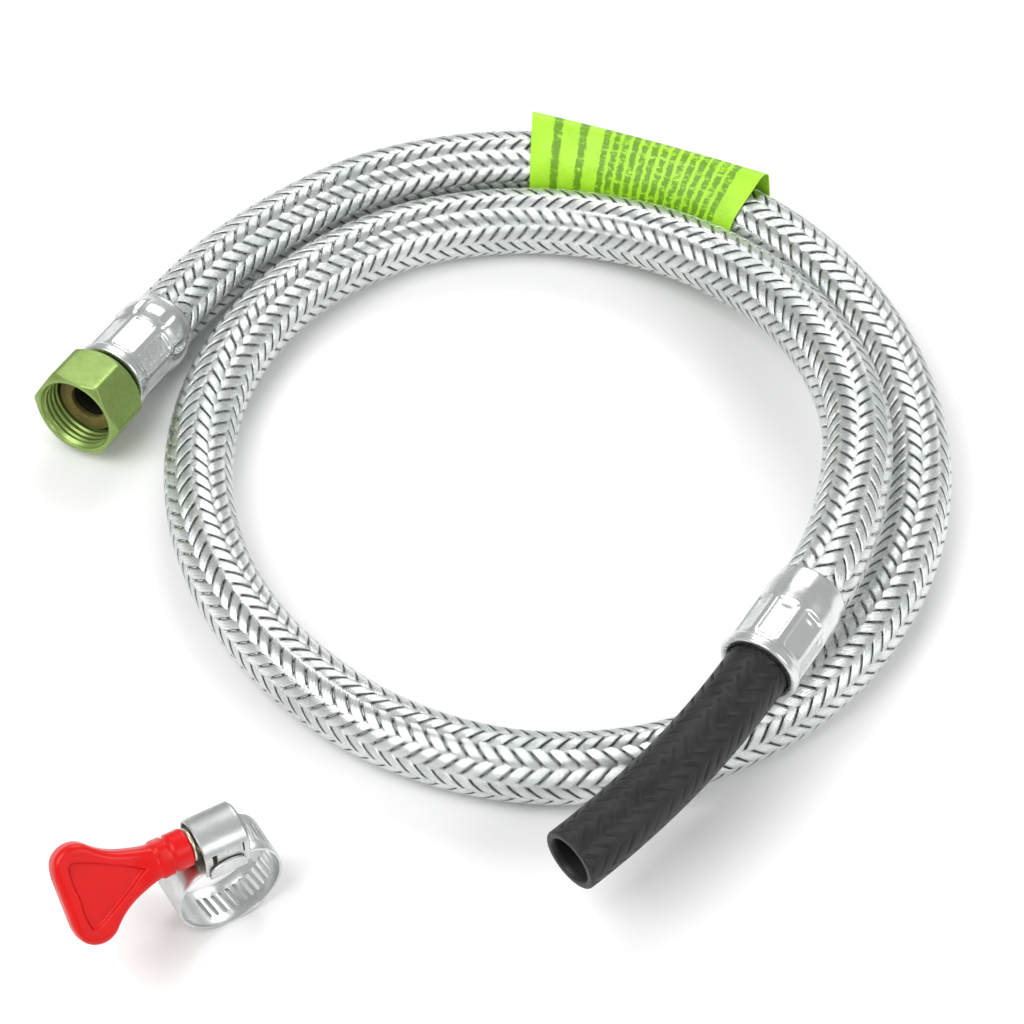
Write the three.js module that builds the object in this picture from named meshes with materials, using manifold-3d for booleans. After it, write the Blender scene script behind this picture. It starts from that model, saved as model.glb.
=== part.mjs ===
// Water connection kit: a coiled wire-braided hose with a swivel nut, and a worm-drive clamp.
// Millimetres, +Z up. The hose lies on the floor plane z = 0 and the clamp stands beside it.
import * as THREE from 'three';
import { mergeVertices } from 'three/addons/utils/BufferGeometryUtils.js';
import Module from 'manifold-3d';

const wasm = await Module();
wasm.setup();

const GAP = 0.3;

// Where the coil's frame sits in the part's own frame.
const FRAME_SHIFT = new THREE.Vector3(5.84, 11.32, 0);

// Hose
const HOSE_RADIUS = 9.25;
const BRAID_INNER_RADIUS = 8.8;
const RUBBER_RADIUS = 8.5;
const BORE_RADIUS = 6.5;
const HOSE_STEPS = 64;
const BRAID_SHORT_STEPS = 5;
const HOSE_SIDES = 12;

// Coil: a tilted ellipse, wound clockwise, whose second turn lies inside the first
const COIL_CENTRE = new THREE.Vector2(3.6, 5.9);
const COIL_HALF_WIDTH = 109.7;
const COIL_HALF_DEPTH = 116.7;
const COIL_TILT = THREE.MathUtils.degToRad(15);
const COIL_START_ANGLE = THREE.MathUtils.degToRad(135);
const COIL_POINTS_PER_TURN = 16;
const COIL_POINTS = 24;
const INNER_TURN_SHIFT = 22.2;
const SHIFT_TURNS = [0.2, 0.78];
const FLOOR_HEIGHT = 9.4;
const CROSSING_HEIGHT = 30.4;
const RISE_TURNS = [1.09, 1.46];
const LABEL_LIFT = 1.3;
const LABEL_TURNS = [-0.02, 0.12, 0.34, 0.48];

// Straight ends of the hose, each held by its ferrule
const NUT_END = new THREE.Vector3(-96.6, 60.5, 10.4);
const NUT_DIRECTION = new THREE.Vector3(-0.47, -0.873, 0.122).normalize();
const NUT_END_LENGTH = 46;
const STUB_FERRULE_START = new THREE.Vector3(76.6, -52.4, 30.6);
const STUB_HEADING = THREE.MathUtils.degToRad(238);
const STUB_BEND = THREE.MathUtils.degToRad(-17);
const STUB_SLOPE = -0.05;
const NUT_LEAD = 5;
const STUB_LEAD = 6;

// Swivel nut, tail and gasket, measured inwards from the nut's mouth
const NUT_ACROSS_FLATS = 24;
const NUT_LENGTH = 14.5;
const NUT_CHAMFER = 1.3;
const NUT_TURN = 0;
const NUT_WALL_FROM = 11.8;
const THREAD_MINOR_RADIUS = 9.35;
const THREAD_MAJOR_RADIUS = 10.45;
const THREAD_PITCH = 1.814;
const THREAD_TURNS = 4;
const THREAD_FROM = 1;
const NECK_RADIUS = 7;
const TAIL_BORE_RADIUS = 4.5;
const FLANGE_RADIUS = 9;
const FLANGE_FROM = 8.9;
const BARB_RADIUS = 6.2;
const BARBS = 4;
const BARB_PITCH = 5;
const GASKET_FROM = 6.6;
const GASKET_BORE_RADIUS = 5.6;
const HOSE_FROM = 18.2;

// Ferrules
const FERRULE_LENGTH = 28;
const FERRULE_WALL = 0.9;
const NUT_FERRULE_FROM = 17;
const STUB_LENGTH = 74;
const FERRULE_INNER_RADIUS = 9.55;
const FERRULE_RADIUS = 10.3;
const FERRULE_LIP_RADIUS = 10.9;

// Label sleeve
const LABEL_FROM = 172;
const LABEL_LENGTH = 67;
const LABEL_INNER_RADIUS = 10.1;
const LABEL_THICKNESS = 0.4;
const LABEL_CREST = 15.2;
const LABEL_CREST_ANGLE = THREE.MathUtils.degToRad(62);
const LABEL_STEPS = 8;
const LABEL_ARC_STEPS = 12;

// Clamp band, in the clamp's frame: X along the screw, Z up, the ring centred on the origin
const BAND_WIDTH = 12;
const BAND_THICKNESS = 0.7;
const RING_RADIUS = 13.85;
const TAIL_LAYER = { flat: 4.5, corner: 8 };
const HEAD_LAYER = { flat: 5.5, corner: 7.5 };
const TAIL_TIP_X = -4.2;
const HEAD_TIP_X = 2.4;
const CLOSE_PIVOT_ANGLE = THREE.MathUtils.degToRad(-46);
const SLOT_PITCH = 2.1;
const SLOT_SIZE = [1.05, 6.2, 4];
const SLOT_SLANT = 0.14;
const SLOTS_TO_ANGLE = THREE.MathUtils.degToRad(-118);
const BAND_STEP = THREE.MathUtils.degToRad(7.5);

// Screw housing, screw and key
const HOUSING_LENGTH = 12.5;
const HOUSING_INNER = 6.4;
const ARCH_RISE = 4.9;
const SHEET = 0.6;
const ARCH_HEIGHT = 15.5;
const SKIRT_FOOT = 10.35;
const WINDOW_FROM = [-4.3, -8, 13.6];
const WINDOW_TO = [-3, -4.2, 17.2];
const SADDLE_FLOOR = 9.35;
const SADDLE_BEND = 0.7;
const SADDLE_SIDE_TOP = 13.6;
const SADDLE_SPAN = [-5.4, 4.4];
const SCREW_HEIGHT = 16.25;
const WORM_RADIUS = 3.8;
const WORM_FROM = -5.6;
const WORM_TO = 5.3;
const SCREW_HEAD_FROM = -13;
const SCREW_HEAD_RADIUS = 3.3;
const COLLAR_FROM = -7.6;
const COLLAR_RADIUS = 4.3;
const KEY_THICKNESS = 6.4;
const KEY_RECESS = 1.1;
const KEY_EDGE = 1.1;
const KEY_END_X = -7.9;
const KEY_BORE = 5.5;
const KEY_TURN = -40 * Math.PI / 180;
const HUB_RADIUS = 5;
const NECK_HALF = 4.5;
const WING_FROM = 8;
const WING_LOBE_U = 27.5;
const WING_LOBE_V = 7;
const WING_LOBE_RADIUS = 6;
const RECESS_TIP_U = 13.5;
const RECESS_HALF = 9.4;
const RECESS_CORNER = 2.6;

// Clamp's place on the floor
const CLAMP_YAW = THREE.MathUtils.degToRad(30);
const CLAMP_PLACE = new THREE.Vector3(-72, -127.28, RING_RADIUS + BAND_THICKNESS / 2);

const MATERIALS = {
  brass: new THREE.MeshStandardMaterial({ color: 0xa3ab62, roughness: 0.32, metalness: 1 }),
  steel: new THREE.MeshStandardMaterial({ color: 0xc9cdcb, roughness: 0.3, metalness: 1 }),
  braid: new THREE.MeshStandardMaterial({ color: 0xbfc4c1, roughness: 0.35, metalness: 1 }),
  zinc: new THREE.MeshStandardMaterial({ color: 0xc9b36a, roughness: 0.35, metalness: 1 }),
  rubber: new THREE.MeshStandardMaterial({ color: 0x2c2d2c, roughness: 0.6, metalness: 0 }),
  gasket: new THREE.MeshStandardMaterial({ color: 0x6b6138, roughness: 0.75, metalness: 0 }),
  label: new THREE.MeshStandardMaterial({ color: 0xbdf24a, roughness: 0.45, metalness: 0 }),
  key: new THREE.MeshStandardMaterial({ color: 0xe01414, roughness: 0.35, metalness: 0 }),
};

function smooth(from, to, value) {
  return THREE.MathUtils.smoothstep(value, from, to);
}

// The coil's centreline after a number of turns from its start.
function coilPoint(turns) {
  const angle = COIL_START_ANGLE - 2 * Math.PI * turns;
  const shift = INNER_TURN_SHIFT * smooth(...SHIFT_TURNS, turns);
  const halfWidth = COIL_HALF_WIDTH - shift;
  const halfDepth = COIL_HALF_DEPTH - shift;
  const across = halfDepth * Math.cos(angle - COIL_TILT);
  const along = halfWidth * Math.sin(angle - COIL_TILT);
  const radius = halfWidth * halfDepth / Math.hypot(across, along);
  const rise = (CROSSING_HEIGHT - FLOOR_HEIGHT) * smooth(...RISE_TURNS, turns);
  const [liftFrom, liftFull, liftHeld, liftTo] = LABEL_TURNS;
  const lift = LABEL_LIFT * (smooth(liftFrom, liftFull, turns) - smooth(liftHeld, liftTo, turns));
  return new THREE.Vector3(
    COIL_CENTRE.x + radius * Math.cos(angle),
    COIL_CENTRE.y + radius * Math.sin(angle),
    FLOOR_HEIGHT + rise + lift,
  );
}

function heading(angle, slope) {
  return new THREE.Vector3(Math.cos(angle), Math.sin(angle), slope).normalize();
}

// The hose's centreline from the nut's mouth: straight through the nut and its ferrule, round the
// coil, straight through the second ferrule, then along the bare stub, which keeps some of its bend.
class HoseRoute extends THREE.Curve {
  constructor() {
    super();
    this.stubDirection = heading(STUB_HEADING, STUB_SLOPE);
    const points = [NUT_END, NUT_END.clone().addScaledVector(NUT_DIRECTION, -NUT_LEAD)];
    for (let step = 0; step < COIL_POINTS; step++) {
      points.push(coilPoint(step / COIL_POINTS_PER_TURN));
    }
    points.push(STUB_FERRULE_START.clone().addScaledVector(this.stubDirection, -STUB_LEAD), STUB_FERRULE_START);
    this.coil = new THREE.CatmullRomCurve3(points);
    this.coil.arcLengthDivisions = 2000;
    this.coilTo = NUT_END_LENGTH + this.coil.getLength();
    this.stubFrom = this.coilTo + FERRULE_LENGTH;
    this.total = this.stubFrom + STUB_LENGTH;
  }

  at(distance) {
    if (distance < NUT_END_LENGTH) {
      return NUT_END.clone().addScaledVector(NUT_DIRECTION, NUT_END_LENGTH - distance);
    }
    if (distance < this.coilTo) {
      return this.coil.getPointAt((distance - NUT_END_LENGTH) / (this.coilTo - NUT_END_LENGTH));
    }
    const straight = Math.min(distance, this.stubFrom) - this.coilTo;
    const point = STUB_FERRULE_START.clone().addScaledVector(this.stubDirection, straight);
    const bent = Math.max(distance - this.stubFrom, 0);
    const turn = STUB_BEND * bent / STUB_LENGTH;
    const radius = STUB_LENGTH / STUB_BEND;
    point.x += radius * (Math.sin(STUB_HEADING + turn) - Math.sin(STUB_HEADING));
    point.y -= radius * (Math.cos(STUB_HEADING + turn) - Math.cos(STUB_HEADING));
    point.z += STUB_SLOPE * bent;
    return point;
  }

  getPoint(t) {
    return this.at(t * this.total);
  }
}

const route = new HoseRoute();

// Part of the hose's centreline, between two distances from the nut's mouth.
class Stretch extends THREE.Curve {
  constructor(from, to) {
    super();
    this.from = from;
    this.to = to;
  }

  getPoint(t) {
    return route.at(THREE.MathUtils.lerp(this.from, this.to, t));
  }
}

function circle(radius, sides) {
  const points = [];
  for (let side = 0; side < sides; side++) {
    const angle = 2 * Math.PI * side / sides;
    points.push(new THREE.Vector2(radius * Math.cos(angle), radius * Math.sin(angle)));
  }
  return points;
}

function ringShape(outer, inner, sides) {
  const shape = new THREE.Shape(circle(outer, sides));
  shape.holes.push(new THREE.Path(circle(inner, sides).reverse()));
  return shape;
}

function tube(outer, inner, from, to, steps) {
  const shape = ringShape(outer, inner, HOSE_SIDES);
  return new THREE.ExtrudeGeometry(shape, { steps, extrudePath: new Stretch(from, to) });
}

// A turned piece: its profile lists [radius, distance from the nut's mouth] and closes on itself.
function turned(profile, segments = 32) {
  const points = [...profile, profile[0]].map(([radius, along]) => new THREE.Vector2(radius, along));
  return new THREE.LatheGeometry(points, segments);
}

function toManifold(geometry) {
  const bare = geometry.clone();
  bare.deleteAttribute('normal');
  bare.deleteAttribute('uv');
  const merged = mergeVertices(bare, 1e-4);
  const corners = merged.index.array;
  const triangles = [];
  for (let at = 0; at < corners.length; at += 3) {
    const [a, b, c] = corners.slice(at, at + 3);
    if (a !== b && b !== c && c !== a) {
      triangles.push(a, b, c);
    }
  }
  return new wasm.Manifold(new wasm.Mesh({
    numProp: 3,
    vertProperties: new Float32Array(merged.attributes.position.array),
    triVerts: new Uint32Array(triangles),
  }));
}

function fromManifold(manifold) {
  const mesh = manifold.getMesh();
  const geometry = new THREE.BufferGeometry();
  geometry.setAttribute('position', new THREE.BufferAttribute(mesh.vertProperties, 3));
  geometry.setIndex(new THREE.BufferAttribute(mesh.triVerts, 1));
  geometry.computeVertexNormals();
  return geometry;
}

function subtract(body, cuts) {
  return cuts.reduce((left, cut) => left.subtract(toManifold(cut)), body);
}

function named(name, geometry, material) {
  const mesh = new THREE.Mesh(geometry, material);
  mesh.name = name;
  return mesh;
}

// A turned or extruded piece whose Y axis runs along the hose, at one of its straight ends.
function alongHose(group, origin, direction) {
  group.position.copy(origin);
  group.quaternion.setFromUnitVectors(new THREE.Vector3(0, 1, 0), direction);
  return group;
}

function hexagonalNut() {
  const corner = NUT_ACROSS_FLATS / Math.sqrt(3);
  const shape = new THREE.Shape(circle(corner, 6));
  const blank = new THREE.ExtrudeGeometry(shape, { depth: NUT_LENGTH, bevelEnabled: false });
  blank.rotateX(-Math.PI / 2);
  blank.rotateY(NUT_TURN);
  const face = NUT_ACROSS_FLATS / 2;
  const envelope = turned([
    [0, 0], [face, 0], [corner + 0.2, NUT_CHAMFER],
    [corner + 0.2, NUT_LENGTH - NUT_CHAMFER], [face, NUT_LENGTH], [0, NUT_LENGTH],
  ], 48);
  const bore = [[0, -1], [THREAD_MAJOR_RADIUS + 0.3, -1], [THREAD_MAJOR_RADIUS + 0.3, 0]];
  for (let turn = 0; turn < THREAD_TURNS; turn++) {
    const crest = THREAD_FROM + turn * THREAD_PITCH;
    bore.push([THREAD_MINOR_RADIUS, crest], [THREAD_MINOR_RADIUS, crest + THREAD_PITCH / 4]);
    bore.push([THREAD_MAJOR_RADIUS, crest + THREAD_PITCH * 0.6]);
  }
  bore.push([THREAD_MAJOR_RADIUS, NUT_WALL_FROM], [NECK_RADIUS + GAP, NUT_WALL_FROM]);
  bore.push([NECK_RADIUS + GAP, NUT_LENGTH + 1], [0, NUT_LENGTH + 1]);
  const body = toManifold(blank).intersect(toManifold(envelope));
  return fromManifold(subtract(body, [turned(bore, 40)]));
}

function hoseTail() {
  const profile = [
    [TAIL_BORE_RADIUS, FLANGE_FROM], [FLANGE_RADIUS - 0.6, FLANGE_FROM], [FLANGE_RADIUS, FLANGE_FROM + 0.6],
    [FLANGE_RADIUS, NUT_WALL_FROM - GAP], [NECK_RADIUS, NUT_WALL_FROM - GAP],
    [NECK_RADIUS, HOSE_FROM - GAP], [BARB_RADIUS - 0.7, HOSE_FROM - GAP],
  ];
  for (let barb = 0; barb < BARBS; barb++) {
    const foot = HOSE_FROM + 1 + barb * BARB_PITCH;
    profile.push([BARB_RADIUS - 0.7, foot], [BARB_RADIUS, foot + 0.4]);
    profile.push([BARB_RADIUS - 0.7, foot + BARB_PITCH - 1]);
  }
  const tip = HOSE_FROM + 1 + BARBS * BARB_PITCH;
  profile.push([TAIL_BORE_RADIUS + 0.5, tip], [TAIL_BORE_RADIUS, tip]);
  return turned(profile);
}

function gasket() {
  const to = FLANGE_FROM - GAP;
  return turned([
    [GASKET_BORE_RADIUS, GASKET_FROM], [FLANGE_RADIUS, GASKET_FROM],
    [FLANGE_RADIUS, to], [GASKET_BORE_RADIUS, to],
  ]);
}

// A crimped sleeve with a rolled lip at its front and an inward wall behind it.
function ferrule(front, wallRadius) {
  const back = front + FERRULE_LENGTH;
  return turned([
    [wallRadius, front], [FERRULE_LIP_RADIUS - 0.5, front], [FERRULE_LIP_RADIUS, front + 0.5],
    [FERRULE_LIP_RADIUS, front + 1.6], [FERRULE_RADIUS - 0.2, front + 2.3], [FERRULE_RADIUS, front + 5],
    [FERRULE_RADIUS, back - 4], [FERRULE_RADIUS + 0.4, back - 1.2], [FERRULE_RADIUS, back],
    [FERRULE_INNER_RADIUS + 0.4, back], [FERRULE_INNER_RADIUS, back - 4],
    [FERRULE_INNER_RADIUS, front + FERRULE_WALL], [wallRadius, front + FERRULE_WALL],
  ]);
}

// The label's loop round the hose, drawn up to a crest where its two ends meet.
function labelLoop(scale, heading) {
  const radius = LABEL_INNER_RADIUS * scale;
  const crest = LABEL_CREST * scale;
  const spread = Math.acos(radius / crest);
  const points = [new THREE.Vector2(crest * Math.cos(heading), crest * Math.sin(heading))];
  for (let step = 0; step <= LABEL_ARC_STEPS; step++) {
    const angle = heading + THREE.MathUtils.lerp(spread, 2 * Math.PI - spread, step / LABEL_ARC_STEPS);
    points.push(new THREE.Vector2(radius * Math.cos(angle), radius * Math.sin(angle)));
  }
  return points;
}

function labelSleeve() {
  const path = new Stretch(LABEL_FROM, LABEL_FROM + LABEL_LENGTH);
  const { normals, binormals, tangents } = path.computeFrenetFrames(LABEL_STEPS, false);
  const outward = new THREE.Vector3(-tangents[0].y, tangents[0].x, 0).normalize();
  const crest = outward.multiplyScalar(Math.cos(LABEL_CREST_ANGLE));
  crest.z = Math.sin(LABEL_CREST_ANGLE);
  const heading = Math.atan2(crest.dot(binormals[0]), crest.dot(normals[0]));
  const shape = new THREE.Shape(labelLoop(1 + LABEL_THICKNESS / LABEL_INNER_RADIUS, heading));
  shape.holes.push(new THREE.Path(labelLoop(1, heading).reverse()));
  return new THREE.ExtrudeGeometry(shape, { steps: LABEL_STEPS, extrudePath: path });
}

function arc(centreX, centreZ, radius, from, to) {
  const steps = Math.max(2, Math.ceil(Math.abs(to - from) / BAND_STEP));
  const points = [];
  for (let step = 0; step <= steps; step++) {
    const angle = THREE.MathUtils.lerp(from, to, step / steps);
    points.push(new THREE.Vector2(centreX + radius * Math.cos(angle), centreZ + radius * Math.sin(angle)));
  }
  return points;
}

// How a layer of the band leaves the ring for its flat run under the screw.
function layerTurn({ flat, corner }) {
  return Math.asin(flat / (RING_RADIUS - corner));
}

function layerTop(layer) {
  return layer.corner + (RING_RADIUS - layer.corner) * Math.cos(layerTurn(layer));
}

// Centrelines of the band's three pieces.
const tailTop = layerTop(TAIL_LAYER);
const headTop = layerTop(HEAD_LAYER);
const feedPivotAngle = Math.PI / 2 - layerTurn(TAIL_LAYER);
const endGap = GAP / 2 / RING_RADIUS;
const tailLine = [
  new THREE.Vector2(TAIL_TIP_X, tailTop),
  ...arc(TAIL_LAYER.flat, tailTop - TAIL_LAYER.corner, TAIL_LAYER.corner, Math.PI / 2, feedPivotAngle + 2 * endGap),
];
const sideLine = arc(0, 0, RING_RADIUS, feedPivotAngle - endGap, CLOSE_PIVOT_ANGLE + endGap);
const headAngle = Math.PI / 2 + layerTurn(HEAD_LAYER);
const headLine = [
  ...arc(0, 0, RING_RADIUS, CLOSE_PIVOT_ANGLE - endGap, headAngle - 2 * Math.PI).slice(0, -1),
  ...arc(-HEAD_LAYER.flat, headTop - HEAD_LAYER.corner, HEAD_LAYER.corner, headAngle, Math.PI / 2),
  new THREE.Vector2(HEAD_TIP_X, headTop),
];

function offsetLine(line, distance) {
  return line.map((point, index) => {
    const before = line[Math.max(index - 1, 0)];
    const after = line[Math.min(index + 1, line.length - 1)];
    const along = after.clone().sub(before).normalize();
    return new THREE.Vector2(point.x - along.y * distance, point.y + along.x * distance);
  });
}

// A flat outline in the clamp's XZ plane, given a thickness along Y and centred on that plane.
function plate(shape, thickness, options = {}) {
  const geometry = new THREE.ExtrudeGeometry(shape, { depth: thickness, bevelEnabled: false, ...options });
  geometry.rotateX(Math.PI / 2);
  geometry.translate(0, thickness / 2, 0);
  return geometry;
}

function strip(line) {
  const outline = [
    ...offsetLine(line, BAND_THICKNESS / 2),
    ...offsetLine(line, -BAND_THICKNESS / 2).reverse(),
  ];
  return plate(new THREE.Shape(outline), BAND_WIDTH);
}

// The slanted slots that the worm drives, from the tail's tip round to the foot of the ring.
function slots() {
  const line = [
    ...tailLine.slice(0, -1),
    ...arc(0, 0, RING_RADIUS, feedPivotAngle, SLOTS_TO_ANGLE),
  ];
  const path = new THREE.CurvePath();
  for (let index = 1; index < line.length; index++) {
    path.add(new THREE.LineCurve(line[index - 1], line[index]));
  }
  const length = path.getLength();
  const cuts = [];
  for (let along = SLOT_PITCH; along < length; along += SLOT_PITCH) {
    const place = path.getPointAt(along / length);
    const tangent = path.getTangentAt(along / length);
    const slot = new THREE.BoxGeometry(...SLOT_SIZE);
    slot.rotateZ(SLOT_SLANT);
    slot.rotateY(-Math.atan2(tangent.y, tangent.x));
    slot.translate(place.x, 0, place.y);
    cuts.push(slot);
  }
  return cuts;
}

function slottedStrip(line) {
  return fromManifold(subtract(toManifold(strip(line)), slots()));
}

// The screw cover's end outline: an arch over the worm with two straight skirts.
function archShape(halfWidth, rise, foot) {
  const shape = new THREE.Shape();
  shape.moveTo(-halfWidth, foot);
  shape.lineTo(halfWidth, foot);
  shape.lineTo(halfWidth, ARCH_HEIGHT);
  shape.absellipse(0, ARCH_HEIGHT, halfWidth, rise, 0, Math.PI, false, 0);
  shape.closePath();
  return shape;
}

// An outline in the clamp's YZ plane, drawn out along X from one place to another.
function profileBar(shape, from, to, curveSegments = 9) {
  const options = { depth: to - from, bevelEnabled: false, curveSegments };
  const geometry = new THREE.ExtrudeGeometry(shape, options);
  geometry.rotateX(Math.PI / 2);
  geometry.rotateZ(Math.PI / 2);
  geometry.translate(from, 0, 0);
  return geometry;
}

function box(from, to) {
  const geometry = new THREE.BoxGeometry(to[0] - from[0], to[1] - from[1], to[2] - from[2]);
  geometry.translate((from[0] + to[0]) / 2, (from[1] + to[1]) / 2, (from[2] + to[2]) / 2);
  return geometry;
}

function screwHousing() {
  const end = HOUSING_LENGTH / 2;
  const shell = archShape(HOUSING_INNER + SHEET, ARCH_RISE + SHEET, SKIRT_FOOT);
  const outer = toManifold(profileBar(shell, -end, end));
  return fromManifold(subtract(outer, [
    profileBar(archShape(HOUSING_INNER, ARCH_RISE, SKIRT_FOOT - 1), -end - 1, end - SHEET),
    box([0, -HOUSING_INNER, SKIRT_FOOT - 1], [end + 1, HOUSING_INNER, tailTop + 1.2]),
    box(WINDOW_FROM, WINDOW_TO),
  ]));
}

function saddle() {
  const inner = HOUSING_INNER + SHEET + GAP;
  const outer = inner + SHEET;
  const shape = new THREE.Shape([
    new THREE.Vector2(-outer, SADDLE_SIDE_TOP), new THREE.Vector2(-outer, SADDLE_FLOOR + SADDLE_BEND),
    new THREE.Vector2(-outer + SADDLE_BEND, SADDLE_FLOOR), new THREE.Vector2(outer - SADDLE_BEND, SADDLE_FLOOR),
    new THREE.Vector2(outer, SADDLE_FLOOR + SADDLE_BEND), new THREE.Vector2(outer, SADDLE_SIDE_TOP),
    new THREE.Vector2(inner, SADDLE_SIDE_TOP), new THREE.Vector2(inner, SADDLE_FLOOR + SHEET),
    new THREE.Vector2(-inner, SADDLE_FLOOR + SHEET), new THREE.Vector2(-inner, SADDLE_SIDE_TOP),
  ]);
  return profileBar(shape, ...SADDLE_SPAN);
}

// A piece turned about the screw's axis: its profile lists [radius, place along X].
function turnedOnScrew(profile, segments) {
  const geometry = turned(profile, segments);
  geometry.rotateZ(-Math.PI / 2);
  geometry.translate(0, 0, SCREW_HEIGHT);
  return geometry;
}

function wormScrew() {
  const root = WORM_RADIUS - 1;
  const profile = [
    [0, SCREW_HEAD_FROM], [SCREW_HEAD_RADIUS, SCREW_HEAD_FROM], [SCREW_HEAD_RADIUS, COLLAR_FROM - 0.2],
    [COLLAR_RADIUS, COLLAR_FROM], [COLLAR_RADIUS, COLLAR_FROM + 0.9], [root, COLLAR_FROM + 0.9], [root, WORM_FROM],
  ];
  for (let along = WORM_FROM; along < WORM_TO - SLOT_PITCH; along += SLOT_PITCH) {
    profile.push([WORM_RADIUS, along + 0.5], [WORM_RADIUS, along + 0.9], [root, along + 1.4]);
  }
  profile.push([root, WORM_TO], [0, WORM_TO]);
  return turnedOnScrew(profile, 20);
}

// The key's wing outline: a neck that sweeps out to two round lobes. u runs away from the screw.
function wingShape() {
  const shape = new THREE.Shape();
  const tangent = WING_LOBE_RADIUS * Math.SQRT1_2;
  const foot = new THREE.Vector2(WING_LOBE_U - tangent, WING_LOBE_V + tangent);
  shape.moveTo(WING_FROM, -NECK_HALF);
  shape.lineTo(WING_FROM, NECK_HALF);
  shape.bezierCurveTo(WING_FROM + 6, NECK_HALF + 0.6, foot.x - 4, foot.y - 4, foot.x, foot.y);
  shape.absarc(WING_LOBE_U, WING_LOBE_V, WING_LOBE_RADIUS, Math.PI * 0.75, 0, true);
  shape.lineTo(WING_LOBE_U + WING_LOBE_RADIUS, -WING_LOBE_V);
  shape.absarc(WING_LOBE_U, -WING_LOBE_V, WING_LOBE_RADIUS, 0, -Math.PI * 0.75, true);
  shape.bezierCurveTo(foot.x - 4, 4 - foot.y, WING_FROM + 6, -NECK_HALF - 0.6, WING_FROM, -NECK_HALF);
  return shape;
}

function recessShape() {
  const shape = new THREE.Shape();
  const corner = RECESS_CORNER;
  const back = WING_LOBE_U + 2.6;
  shape.absarc(back - corner, RECESS_HALF - corner, corner, 0, Math.PI * 0.65, false);
  shape.absarc(RECESS_TIP_U + corner, 0, corner, Math.PI * 0.65, Math.PI * 1.35, false);
  shape.absarc(back - corner, corner - RECESS_HALF, corner, -Math.PI * 0.65, 0, false);
  shape.closePath();
  return shape;
}

function wingKey() {
  const bevel = {
    bevelEnabled: true, bevelThickness: KEY_EDGE, bevelSize: KEY_EDGE, bevelOffset: -KEY_EDGE, bevelSegments: 2,
  };
  const depth = KEY_THICKNESS - 2 * bevel.bevelThickness;
  const wing = plate(wingShape(), depth, { ...bevel, curveSegments: 8 });
  const recess = plate(recessShape(), KEY_THICKNESS, { curveSegments: 4 });
  const shift = KEY_THICKNESS - KEY_RECESS;
  const nearRecess = recess.clone().translate(0, -shift, 0);
  const farRecess = recess.clone().translate(0, shift, 0);
  const neck = new THREE.LatheGeometry([
    [0, 0], [HUB_RADIUS, 0], [HUB_RADIUS, 3.8], [HUB_RADIUS - 0.6, 4.6],
    [NECK_HALF, WING_FROM], [KEY_THICKNESS / 2 - 0.2, WING_FROM + 6], [0, WING_FROM + 7],
  ].map(([radius, along]) => new THREE.Vector2(radius, along)), 28).rotateZ(-Math.PI / 2);
  const bore = turned([[0, -1], [SCREW_HEAD_RADIUS + GAP, -1], [SCREW_HEAD_RADIUS + GAP, KEY_BORE], [0, KEY_BORE]], 20);
  bore.rotateZ(-Math.PI / 2);
  const body = toManifold(wing).add(toManifold(neck));
  const key = fromManifold(subtract(body, [nearRecess, farRecess, bore]));
  key.rotateZ(Math.PI);
  key.rotateX(KEY_TURN);
  key.translate(KEY_END_X, 0, SCREW_HEIGHT);
  return key;
}

function hoseAssembly() {
  const hose = new THREE.Group();
  const step = (route.total - HOSE_FROM) / HOSE_STEPS;
  const braidTo = route.total - BRAID_SHORT_STEPS * step;
  hose.add(
    named('inner_hose', tube(RUBBER_RADIUS, BORE_RADIUS, HOSE_FROM, route.total, HOSE_STEPS), MATERIALS.rubber),
    named('wire_braid', tube(HOSE_RADIUS, BRAID_INNER_RADIUS, HOSE_FROM, braidTo, HOSE_STEPS - BRAID_SHORT_STEPS),
      MATERIALS.braid),
    named('label_sleeve', labelSleeve(), MATERIALS.label),
  );
  const nutEnd = alongHose(new THREE.Group(), route.at(0), NUT_DIRECTION.clone().negate());
  nutEnd.add(
    named('swivel_nut', hexagonalNut(), MATERIALS.brass),
    named('flat_gasket', gasket(), MATERIALS.gasket),
    named('hose_tail', hoseTail(), MATERIALS.brass),
    named('ferrule_nut_end', ferrule(NUT_FERRULE_FROM, NECK_RADIUS + GAP), MATERIALS.steel),
  );
  const stubEnd = alongHose(new THREE.Group(), route.at(route.stubFrom), route.stubDirection.clone().negate());
  stubEnd.add(named('ferrule_stub_end', ferrule(0, RUBBER_RADIUS + GAP), MATERIALS.steel));
  hose.add(nutEnd, stubEnd);
  return hose;
}

function clamp() {
  const group = new THREE.Group();
  group.add(
    named('clamp_housing', screwHousing(), MATERIALS.steel),
    named('clamp_saddle', saddle(), MATERIALS.steel),
    named('band_head', slottedStrip(headLine), MATERIALS.steel),
    named('band_side', slottedStrip(sideLine), MATERIALS.steel),
    named('band_tail', slottedStrip(tailLine), MATERIALS.steel),
    named('worm_screw', wormScrew(), MATERIALS.zinc),
    named('wing_key', wingKey(), MATERIALS.key),
  );
  group.position.copy(CLAMP_PLACE);
  group.rotation.z = CLAMP_YAW;
  return group;
}

const part = new THREE.Group();
part.add(hoseAssembly(), clamp());
part.position.copy(FRAME_SHIFT);
export default part;
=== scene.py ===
"""Braided connection hose with a swivel nut, and a worm-drive hose clamp with a wing key.

Shapes are worked out in millimetres, in the part's own frame, and written to the meshes in metres.
"""

import math
from itertools import product

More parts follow.
